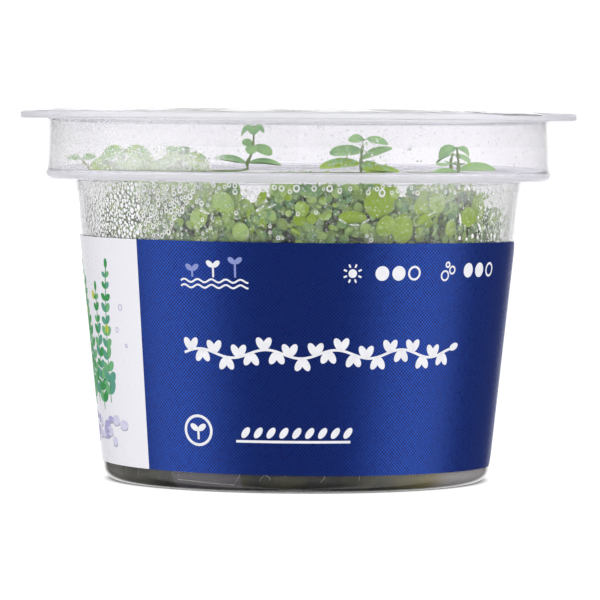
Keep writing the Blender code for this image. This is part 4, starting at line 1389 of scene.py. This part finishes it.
label_stuff, label_tree, label_shader = new_material(
    "label_face", LABEL_WHITE, LABEL_ROUGH["most"], Specular_IOR_Level=LABEL_SHINE)
label_place = place_group(label_tree, round_cup)
label_turn, label_height = label_place.outputs["Turn"], label_place.outputs["Height"]
round_wall = calculate("MULTIPLY", label_turn, math.radians(1.0) * LABEL_MIDDLE_RADIUS)
across_waves, up_waves = (
    calculate("COSINE", calculate("MULTIPLY", way, 2 * math.pi / SCREEN_PITCH))
    for way in (round_wall, label_height))
screen = calculate("MULTIPLY", across_waves, up_waves)
specked = calculate("ADD", screen, clouds(label_tree, **INK_GRAIN))
specks = ramp(specked, -SPECK_EDGE, SPECK_EDGE)
blue_slant = (BLUE_EDGE_TOP - BLUE_EDGE_FOOT) / LABEL_HEIGHT
blue_edge = calculate("MULTIPLY_ADD", label_height, blue_slant, BLUE_EDGE_FOOT)
printed = calculate("MULTIPLY", calculate("GREATER_THAN", label_turn, blue_edge),
                    calculate("LESS_THAN", label_turn, BLUE_END))
blue = blend_colours(specks, NAVY, SATIN_BLUE)
label_colour = blend_colours(printed, LABEL_WHITE, blue)
metal = calculate("MULTIPLY", calculate("MULTIPLY", specks, SPECK_METAL), printed)
link(label_colour, label_shader.inputs["Base Color"])
link(metal, label_shader.inputs["Metallic"])
link(clouds(label_tree, **LABEL_ROUGH), label_shader.inputs["Roughness"])
bump(specked, 0.10, SPECK_DEPTH, label_shader)
backing, backing_tree, backing_shader = new_material("label_backing", LABEL_WHITE, BACKING_ROUGH)
bump(clouds(backing_tree, 800.0), 0.15, 0.00005, backing_shader)

label_left = LABEL_RIGHT - LABEL_SPAN
corner_turn = math.degrees(LABEL_CORNER / LABEL_MIDDLE_RADIUS)
corner_columns = [corner_turn * (1 - math.cos(math.pi / 2 * step / LABEL_CORNER_COLUMNS))
                  for step in range(LABEL_CORNER_COLUMNS)]
middle_columns = list(np.linspace(corner_turn, LABEL_SPAN - corner_turn, LABEL_COLUMNS))
columns = [label_left + turn for turn in corner_columns + middle_columns]
columns += [LABEL_RIGHT - turn for turn in reversed(corner_columns)]


def on_label(turn, height, lift=0.0):
    """A point this far off the label's inner face, for a turn in degrees."""
    radius = body_radius(height) + LABEL_OFF_WALL + lift
    return (radius * math.sin(math.radians(turn)), -radius * math.cos(math.radians(turn)), height)


def grid_slab(name, layers, material, back_material):
    """A thin closed slab from an inner and an outer grid of points, given as columns of rows."""
    inner, outer = layers
    across, up = len(inner), len(inner[0])
    vertices = [spot for layer in layers for column in layer for spot in column]
    size = across * up
    faces = []
    for column in range(across - 1):
        for row in range(up - 1):
            here = column * up + row
            faces.append((here, here + 1, here + up + 1, here + up))
    backs = len(faces)
    faces += [tuple(size + corner for corner in face[::-1]) for face in faces]
    border = [(column, 0) for column in range(across)]
    border += [(across - 1, row) for row in range(1, up)]
    border += [(column, up - 1) for column in range(across - 2, -1, -1)]
    border += [(0, row) for row in range(up - 2, 0, -1)]
    corners = [column * up + row for column, row in border]
    faces += [(start, end, end + size, start + size)
              for start, end in zip(corners, corners[1:] + corners[:1])]
    piece = new_piece(name, vertices, faces, material)
    piece.data.materials.append(back_material)
    piece.data.polygons.foreach_set("material_index", [1] * backs + [0] * (len(faces) - backs))
    sharpen(piece, np.tile(np.isin(np.arange(size), corners), 2))
    return piece


label_layers = []
for lift in (0.0, LABEL_THICK):
    layer = []
    for turn in columns:
        from_end = math.radians(min(turn - label_left, LABEL_RIGHT - turn)) * LABEL_MIDDLE_RADIUS
        cut = 0.0
        if from_end < LABEL_CORNER:
            cut = LABEL_CORNER - math.sqrt(max(0.0, LABEL_CORNER ** 2 - (LABEL_CORNER - from_end) ** 2))
        foot = LABEL_FOOT - LABEL_DROP_PER_DEGREE * turn
        layer.append([on_label(turn, foot + cut + (LABEL_HEIGHT - 2 * cut) * row / LABEL_ROWS, lift)
                      for row in range(LABEL_ROWS + 1)])
    label_layers.append(layer)
label = grid_slab("wrap_label", label_layers, label_stuff, backing)
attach(label, "root")
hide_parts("label")

# The print
# Raised screen ink on the label: white marks and a white vine on the navy, and on the white part a plain
# picture of water plants among pebbles. All of it is generic, and there is no lettering. Each mark is a thin
# closed patch or line that follows the wall.
INK_THICK = 0.00002
INK_LIFT = LABEL_THICK + 0.00001
INK_ROUGH = 0.45
INK_SHINE = 0.3
INK_MOTTLE = {"scale": 700.0, "detail": 3.0, "low": 0.2, "high": 0.8}
INK_DARKER = 0.88
INK_COLOURS = {
    "white": (0.86, 0.86, 0.90), "pale_blue": (0.25, 0.30, 0.62), "green": (0.045, 0.30, 0.085),
    "soft_green": (0.16, 0.44, 0.20), "sea_green": (0.10, 0.34, 0.24), "lime": (0.55, 0.62, 0.05),
    "lilac": (0.42, 0.40, 0.66), "pale_lilac": (0.64, 0.63, 0.80), "grey": (0.22, 0.22, 0.30),
}
INKS = list(INK_COLOURS)
ink_stuffs = []
for ink, colour in INK_COLOURS.items():
    ink_stuff, ink_tree, ink_shader = new_material(
        f"ink_{ink}", colour, INK_ROUGH, Specular_IOR_Level=INK_SHINE)
    darker = [INK_DARKER * part for part in colour]
    ink_mix = blend_colours(clouds(ink_tree, **INK_MOTTLE), darker, colour)
    link(ink_mix, ink_shader.inputs["Base Color"])
    bump(clouds(ink_tree, 1800.0), 0.1, 0.00003, ink_shader)
    ink_stuffs.append(ink_stuff)
ink_spots, ink_faces, ink_slots = [], [], []


def from_anchor(anchor, shape):
    """Points of a shape in metres, set out on the label round an anchor of turn and height."""
    turn, height = anchor
    return [(turn + math.degrees(across / body_radius(height)), height + up) for across, up in shape]


def ink_patch(anchor, outline, ink):
    """A closed patch of ink from an outline that runs anticlockwise round its middle."""
    base, count = len(ink_spots), len(outline)
    middle = tuple(np.mean(outline, axis=0))
    for lift in (INK_LIFT, INK_LIFT + INK_THICK):
        ink_spots.extend(on_label(*spot, lift) for spot in from_anchor(anchor, [middle, *outline]))
    for step in range(count):
        here, beside, top = base + 1 + step, base + 1 + (step + 1) % count, count + 1
        ink_faces.extend([(base, beside, here), (base + top, here + top, beside + top),
                          (here, beside, beside + top, here + top)])
    ink_slots.extend([INKS.index(ink)] * 3 * count)


def ink_line(anchor, points, width, ink, closed=False):
    """A line of ink through points, which may join up in a ring."""
    spots = np.array(points)
    if closed:
        ahead = np.roll(spots, -1, axis=0) - np.roll(spots, 1, axis=0)
    else:
        ahead = np.gradient(spots, axis=0)
    side = unit(np.stack([-ahead[:, 1], ahead[:, 0]], axis=1)) * width / 2
    base, count = len(ink_spots), len(spots)
    for edge in (spots - side, spots + side):
        for lift in (INK_LIFT, INK_LIFT + INK_THICK):
            ink_spots.extend(on_label(*spot, lift) for spot in from_anchor(anchor, edge))
    right, right_top, left, left_top = (base + count * part for part in range(4))
    before = len(ink_faces)
    for step in range(count if closed else count - 1):
        here, beside = step, (step + 1) % count
        ink_faces.extend([(right_top + here, right_top + beside, left_top + beside, left_top + here),
                          (right + here, left + here, left + beside, right + beside),
                          (right + here, right + beside, right_top + beside, right_top + here),
                          (left + here, left_top + here, left_top + beside, left + beside)])
    if not closed:
        ink_faces.extend([(right, right_top, left_top, left),
                          tuple(corner + count - 1 for corner in (right, left, left_top, right_top))])
    ink_slots.extend([INKS.index(ink)] * (len(ink_faces) - before))


def circle(radius, middle=(0.0, 0.0), steps=24):
    """Points of a circle, anticlockwise."""
    return [(middle[0] + radius * math.cos(turn), middle[1] + radius * math.sin(turn))
            for turn in np.linspace(0, 2 * math.pi, steps, endpoint=False)]


def leaf_shape(foot, heading, length, width, steps=8):
    """The outline of a leaf, from its foot along a heading in degrees anticlockwise from across."""
    way = math.radians(heading)
    outline = []
    for side, stations in ((-1, range(steps)), (1, range(steps, 0, -1))):
        for station in stations:
            turn = math.pi * station / steps
            along = length * (1 - math.cos(turn)) / 2
            off = side * width / 2 * math.sin(turn)
            outline.append((foot[0] + along * math.cos(way) - off * math.sin(way),
                            foot[1] + along * math.sin(way) + off * math.cos(way)))
    return outline


def ink_leaf(anchor, foot, heading, size, ink):
    """A leaf of ink of this (length, width)."""
    ink_patch(anchor, leaf_shape(foot, heading, *size), ink)


def ink_ring(anchor, radius, width, ink, middle=(0.0, 0.0), steps=24):
    """A ring of ink."""
    ink_line(anchor, circle(radius, middle, steps), width, ink, closed=True)


def ink_rule(anchor, length, width, ink):
    """A straight rule of ink that follows the wall to the right."""
    ink_line(anchor, [(length * share, 0.0) for share in np.linspace(0, 1, 30)], width, ink)


def ink_sprig(anchor, height, lean, leaf, inks, pairs):
    """A water plant: a curved stem with round leaves in pairs and one at its tip."""
    stem = [(lean * share ** 2, height * share) for share in np.linspace(0, 1, 14)]
    ink_line(anchor, stem, 0.00022, inks[0])
    for pair in range(pairs):
        share = (pair + 0.8) / (pairs + 0.5)
        foot = (lean * share ** 2, height * share)
        size = leaf * (1.15 - 0.55 * share) * dice.uniform(0.85, 1.15)
        for heading in (38 + dice.normal(0, 8), 142 + dice.normal(0, 8)):
            ink_leaf(anchor, foot, heading, (size, size * 0.62), inks[int(dice.integers(len(inks)))])
    ink_leaf(anchor, stem[-1], 90 - math.degrees(lean / height), (leaf * 0.7, leaf * 0.42), inks[0])


PEBBLE_STEP = 3.4
PEBBLE_WIDTHS = (0.0008, 0.0017)
PEBBLE_HEIGHTS = (0.0005, 0.0010)
PEBBLE_LINE = 0.00010
PEBBLE_LINE_DROP = 0.00012


def pebble_row(turns, heights):
    """Rounded pebbles in two pale tones, each with a grey line under it."""
    for turn in np.arange(*turns, PEBBLE_STEP):
        anchor = (turn + dice.normal(0, 0.8), dice.uniform(*heights))
        wide, tall = dice.uniform(*PEBBLE_WIDTHS), dice.uniform(*PEBBLE_HEIGHTS)
        pebble = [(x * wide, y * tall) for x, y in circle(1.0, steps=14)]
        ink_patch(anchor, pebble, ("pale_lilac", "lilac")[int(dice.integers(2))])
        ink_line(anchor, [(x, y - PEBBLE_LINE_DROP) for x, y in pebble[8:]], PEBBLE_LINE, "grey")


# The vine lies across the middle of the navy part, 77 degrees wide.
VINE_LEFT = (-31.5, 0.0231)
VINE_SPAN = 77.0
VINE_LINE = 0.00042
VINE_WAVE = 0.0007
VINE_WAVES = 26.0
VINE_LEAVES = 22
VINE_LEAF = (0.0023, 0.00125)
VINE_TIP = (0.0021, 0.0012)
vine_length = math.radians(VINE_SPAN) * body_radius(VINE_LEFT[1])


def on_vine(share):
    """A point a share of the way along the vine."""
    return vine_length * share, VINE_WAVE * math.sin(share * VINE_WAVES)


ink_line(VINE_LEFT, [on_vine(share) for share in np.linspace(0, 1, 110)], VINE_LINE, "white")
for leaf in range(VINE_LEAVES):
    for heading in ((-62, -118) if leaf % 2 else (62, 118)):
        ink_leaf(VINE_LEFT, on_vine((leaf + 0.6) / (VINE_LEAVES + 0.4)), heading, VINE_LEAF, "white")
ink_leaf(VINE_LEFT, on_vine(1.0), 20, VINE_TIP, "white")

# Rating marks: two scales of three dots with two filled, after a sun and after bubbles.
DOT_RADIUS = 0.00122
DOT_LINE = 0.00036
MARK_LINE = 0.00030
SUN = (14.2, 0.0364)
SUN_RADIUS = 0.00072
SUN_RAYS = 8
RAY_REACHES = (0.00104, 0.0013, 0.00162)
BUBBLES = (42.8, 0.0364)
for turns, height in (((22.2, 26.9, 31.5), 0.0364), ((50.4, 55.3, 60.4), 0.0367)):
    for turn in turns[:2]:
        ink_patch((turn, height), circle(DOT_RADIUS), "white")
    ink_ring((turns[2], height), DOT_RADIUS - DOT_LINE / 2, DOT_LINE, "white")
ink_patch(SUN, circle(SUN_RADIUS), "white")
for ray in range(SUN_RAYS):
    way = 2 * math.pi * (ray + 0.5) / SUN_RAYS
    spots = [(reach * math.cos(way), reach * math.sin(way)) for reach in RAY_REACHES]
    ink_line(SUN, spots, MARK_LINE, "white")
for across, up, radius in ((-0.0008, -0.0005, 0.00078), (0.0008, 0.0004, 0.00060),
                           (-0.0003, 0.0013, 0.00040)):
    ink_ring(BUBBLES, radius, MARK_LINE, "white", (across, up), 18)

# A shore mark: two waves under three sprouts that rise to the right, the middle one brightest.
SHORE = (-31.5, 0.0350)
SHORE_REACH = 0.0120
SHORE_WAVE = 0.00026
SPROUT_FOOT = 0.0006
SPROUT_LINE = 0.00034
SPROUT_LEAF = (0.0015, 0.0009)
for row in (0.0, -0.0009):
    wave = [(SHORE_REACH * share, row + SHORE_WAVE * math.sin(share * 30)) for share in np.linspace(0, 1, 60)]
    ink_line(SHORE, wave, MARK_LINE, "white")
for across, tall, ink in ((0.0022, 0.0013, "pale_blue"), (0.0060, 0.0019, "white"),
                          (0.0098, 0.0025, "pale_blue")):
    ink_line(SHORE, [(across, SPROUT_FOOT + tall * share) for share in (0.0, 0.5, 1.0)], SPROUT_LINE, ink)
    for heading in (40, 140):
        ink_leaf(SHORE, (across, 0.0004 + tall), heading, SPROUT_LEAF, ink)

# An emblem: a sprout in a ring, with a rule of leaves beside it.
EMBLEM = (-28.4, 0.0102)
EMBLEM_RADIUS = 0.0024
EMBLEM_LINE = 0.00046
EMBLEM_LEAF = (0.0017, 0.0010)
RULE_LEFT = (-17.0, 0.0086)
RULE_SPAN = 32.0
RULE_LEAVES = 9
RULE_LEAF = (0.0021, 0.0011)
ink_ring(EMBLEM, EMBLEM_RADIUS, EMBLEM_LINE, "white", steps=40)
ink_line(EMBLEM, [(0.0, -0.0015), (0.0, -0.0006), (0.0, 0.0002)], 0.00040, "white")
for heading in (35, 145):
    ink_leaf(EMBLEM, (0.0, 0.0), heading, EMBLEM_LEAF, "white")
rule_length = math.radians(RULE_SPAN) * body_radius(EMBLEM[1])
ink_rule(RULE_LEFT, rule_length, VINE_LINE, "white")
for leaf in range(RULE_LEAVES):
    foot = (rule_length * (leaf + 0.5) / RULE_LEAVES, 0.0006)
    ink_leaf(RULE_LEFT, foot, 55, RULE_LEAF, "white")

# The picture on the white part: rows of water plants of different heights, flowers, bubbles and pebbles.
GREENS = ("green", "soft_green", "sea_green")
FRONT_PICTURE_TO = -98.0
BACK_PICTURE = (-206.0, -150.0)
PLANT_STEP = 5.2
PLANT_FOOT = 0.0118
PLANT_LEAF = 0.0024
PLANT_PAIR_STEP = 0.0019
FRONT_PLANTS = (0.013, 0.024)
BACK_PLANTS = (0.007, 0.015)
PETAL = (0.0009, 0.0006)
for turn in np.arange(-66.0, -236.0, -PLANT_STEP):
    near_front = turn > FRONT_PICTURE_TO
    if not near_front and not BACK_PICTURE[0] < turn < BACK_PICTURE[1]:
        continue
    tall = dice.uniform(*(FRONT_PLANTS if near_front else BACK_PLANTS))
    anchor = (turn + dice.normal(0, 0.8), PLANT_FOOT + dice.uniform(0, 0.002))
    ink_sprig(anchor, tall, dice.normal(0, 0.0014), PLANT_LEAF, GREENS, int(tall / PLANT_PAIR_STEP))
for anchor in ((-63.5, 0.0262), (-72.0, 0.0318), (-83.0, 0.0290)):
    for heading in range(0, 360, 72):
        ink_leaf(anchor, (0.0, 0.0), heading, PETAL, "lime")
for turn, height, radius in ((-55.0, 0.0300, 0.0005), (-57.5, 0.0262, 0.0004), (-53.5, 0.0236, 0.0003)):
    ink_ring((turn, height), radius, 0.00012, "lilac", steps=16)
for turns, heights in (((-100.0, -56.0), (0.0090, 0.0114)), ((-98.0, -62.0), (0.0068, 0.0088)),
                       (BACK_PICTURE, (0.0090, 0.0114))):
    pebble_row(turns, heights)

# Plain grey rules and a row of three ringed leaves on the back.
BACK_RULES = (0.017, 0.019, 0.016, 0.018, 0.019, 0.011)
BACK_RULES_TOP = (-146.0, 0.0345)
BACK_RULE_STEP = 0.0019
BACK_RINGS = (-196.0, -187.0, -178.0)
BACK_RING_HEIGHT = 0.0318
BACK_RING_RADIUS = 0.0021
BACK_RING_LEAF = (0.0024, 0.0015)
for row, width in enumerate(BACK_RULES):
    ink_rule((BACK_RULES_TOP[0], BACK_RULES_TOP[1] - BACK_RULE_STEP * row), width, 0.00036, "grey")
for turn in BACK_RINGS:
    ink_ring((turn, BACK_RING_HEIGHT), BACK_RING_RADIUS, MARK_LINE, "sea_green", steps=32)
    ink_leaf((turn, BACK_RING_HEIGHT), (0.0, -0.0012), 90, BACK_RING_LEAF, "soft_green")
print_piece = new_piece("label_print", ink_spots, ink_faces, ink_stuffs[0])
for ink_stuff in ink_stuffs[1:]:
    print_piece.data.materials.append(ink_stuff)
print_piece.data.polygons.foreach_set("material_index", ink_slots)
print_piece.data.shade_flat()
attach(print_piece, "root")

# The studio
# A pale sweep under and behind the cup, lit evenly from all round. What mirrors in the label is darker in
# front and at the sides, with a tall soft light at each side of the camera. The floor glows except under the
# cup, where no light reaches it.
CAMERA_PLACE = (0.00044, -EYE_DISTANCE, EYE_HEIGHT)
CAMERA_PITCH = 2.202
CAMERA_ROLL = 0.38
CAMERA_LENS = 265.3
FLOOR_SIZE = 6.0
FLOOR_GREY = (0.13, 0.13, 0.13)
FLOOR_ROUGH = 0.9
FLOOR_GLOW = 0.95
WHITE = (1.0, 1.0, 1.0, 1.0)
SOFTBOX_NEAR = (22, 70)
SOFTBOX_FAR = (114, 78)
BEHIND_FROM = (150, 170)
SIDES_FROM = (100, 125)
SIDES_GLOW = 0.13
OVERHEAD_FROM = (0.45, 0.8)
MIRRORED_GLOW = (0.03, 1.15)
EVEN_FROM = (-0.3, 0.9)
EVEN_GLOW = (1.0, 1.15)

camera_data = bpy.data.cameras.new("camera")
camera_data.lens = CAMERA_LENS
camera_data.sensor_width = 36.0
camera_data.clip_start = 0.05
camera_data.clip_end = 20.0
camera = bpy.data.objects.new("camera", camera_data)
bpy.context.scene.collection.objects.link(camera)
camera.matrix_world = (Matrix.Translation(CAMERA_PLACE)
                       @ Matrix.Rotation(math.radians(90.0 - CAMERA_PITCH), 4, "X")
                       @ Matrix.Rotation(math.radians(CAMERA_ROLL), 4, "Z"))
bpy.context.scene.camera = camera

floor_paper, floor_tree, floor_shader = new_material(
    "floor_paper", FLOOR_GREY, FLOOR_ROUGH, Specular_IOR_Level=0.0, Emission_Color=WHITE)
floor_place = floor_tree.nodes.new("ShaderNodeTexCoord")
from_middle = floor_tree.nodes.new("ShaderNodeVectorMath")
from_middle.operation = "LENGTH"
link(floor_place.outputs["Object"], from_middle.inputs[0])
shade_edge = BODY_RADIUS_LOW + BASE_ROUND / 4
floor_glow = ramp(from_middle.outputs["Value"], FOOT_RADIUS, shade_edge, 0.0, FLOOR_GLOW)
link(floor_glow, floor_shader.inputs["Emission Strength"])
half = FLOOR_SIZE / 2
floor = new_piece("floor", [(-half, -half, 0.0), (half, -half, 0.0), (half, half, 0.0), (-half, half, 0.0)],
                  [(0, 1, 2, 3)], floor_paper)
floor.visible_glossy = False

world = bpy.data.worlds.new("studio")
world.use_nodes = True
bpy.context.scene.world = world
world_tree = world.node_tree
aim = world_tree.nodes.new("ShaderNodeTexCoord")
parts = world_tree.nodes.new("ShaderNodeSeparateXYZ")
link(aim.outputs["Generated"], parts.inputs[0])
frontward = calculate("MULTIPLY", parts.outputs["Y"], -1.0)
side_turn = calculate("ABSOLUTE", calculate("ARCTAN2", parts.outputs["X"], frontward))
softbox = calculate("MULTIPLY", ramp(side_turn, *np.radians(SOFTBOX_NEAR)),
                    ramp(side_turn, *np.radians(SOFTBOX_FAR)))
behind = ramp(side_turn, *np.radians(BEHIND_FROM))
overhead = ramp(parts.outputs["Z"], *OVERHEAD_FROM)
sidelong = ramp(side_turn, *np.radians(SIDES_FROM), 0.0, SIDES_GLOW)
mirrored = calculate("MAXIMUM", calculate("MAXIMUM", softbox, behind),
                     calculate("MAXIMUM", sidelong, overhead))
mirrored_light = ramp(mirrored, 0.0, 1.0, *MIRRORED_GLOW)
rays = world_tree.nodes.new("ShaderNodeLightPath")
even_light = ramp(parts.outputs["Z"], *EVEN_FROM, *EVEN_GLOW)
light = world_tree.nodes.new("ShaderNodeMix")
mirror_only = calculate("MULTIPLY", rays.outputs["Is Glossy Ray"],
                        calculate("LESS_THAN", rays.outputs["Transmission Depth"], 0.5))
link(mirror_only, light.inputs["Factor"])
link(even_light, light.inputs[2])
link(mirrored_light, light.inputs[3])
link(light.outputs[0], world_tree.nodes["Background"].inputs["Strength"])
world_tree.nodes["Background"].inputs["Color"].default_value = WHITE
bpy.context.scene.view_settings.view_transform = "Standard"
bpy.context.scene.view_settings.look = "None"
bpy.context.scene.cycles.blur_glossy = 0.0
bpy.context.scene.cycles.max_bounces = 32
bpy.context.scene.cycles.glossy_bounces = 24
bpy.context.scene.cycles.transmission_bounces = 32
bpy.context.scene.cycles.transparent_max_bounces = 16
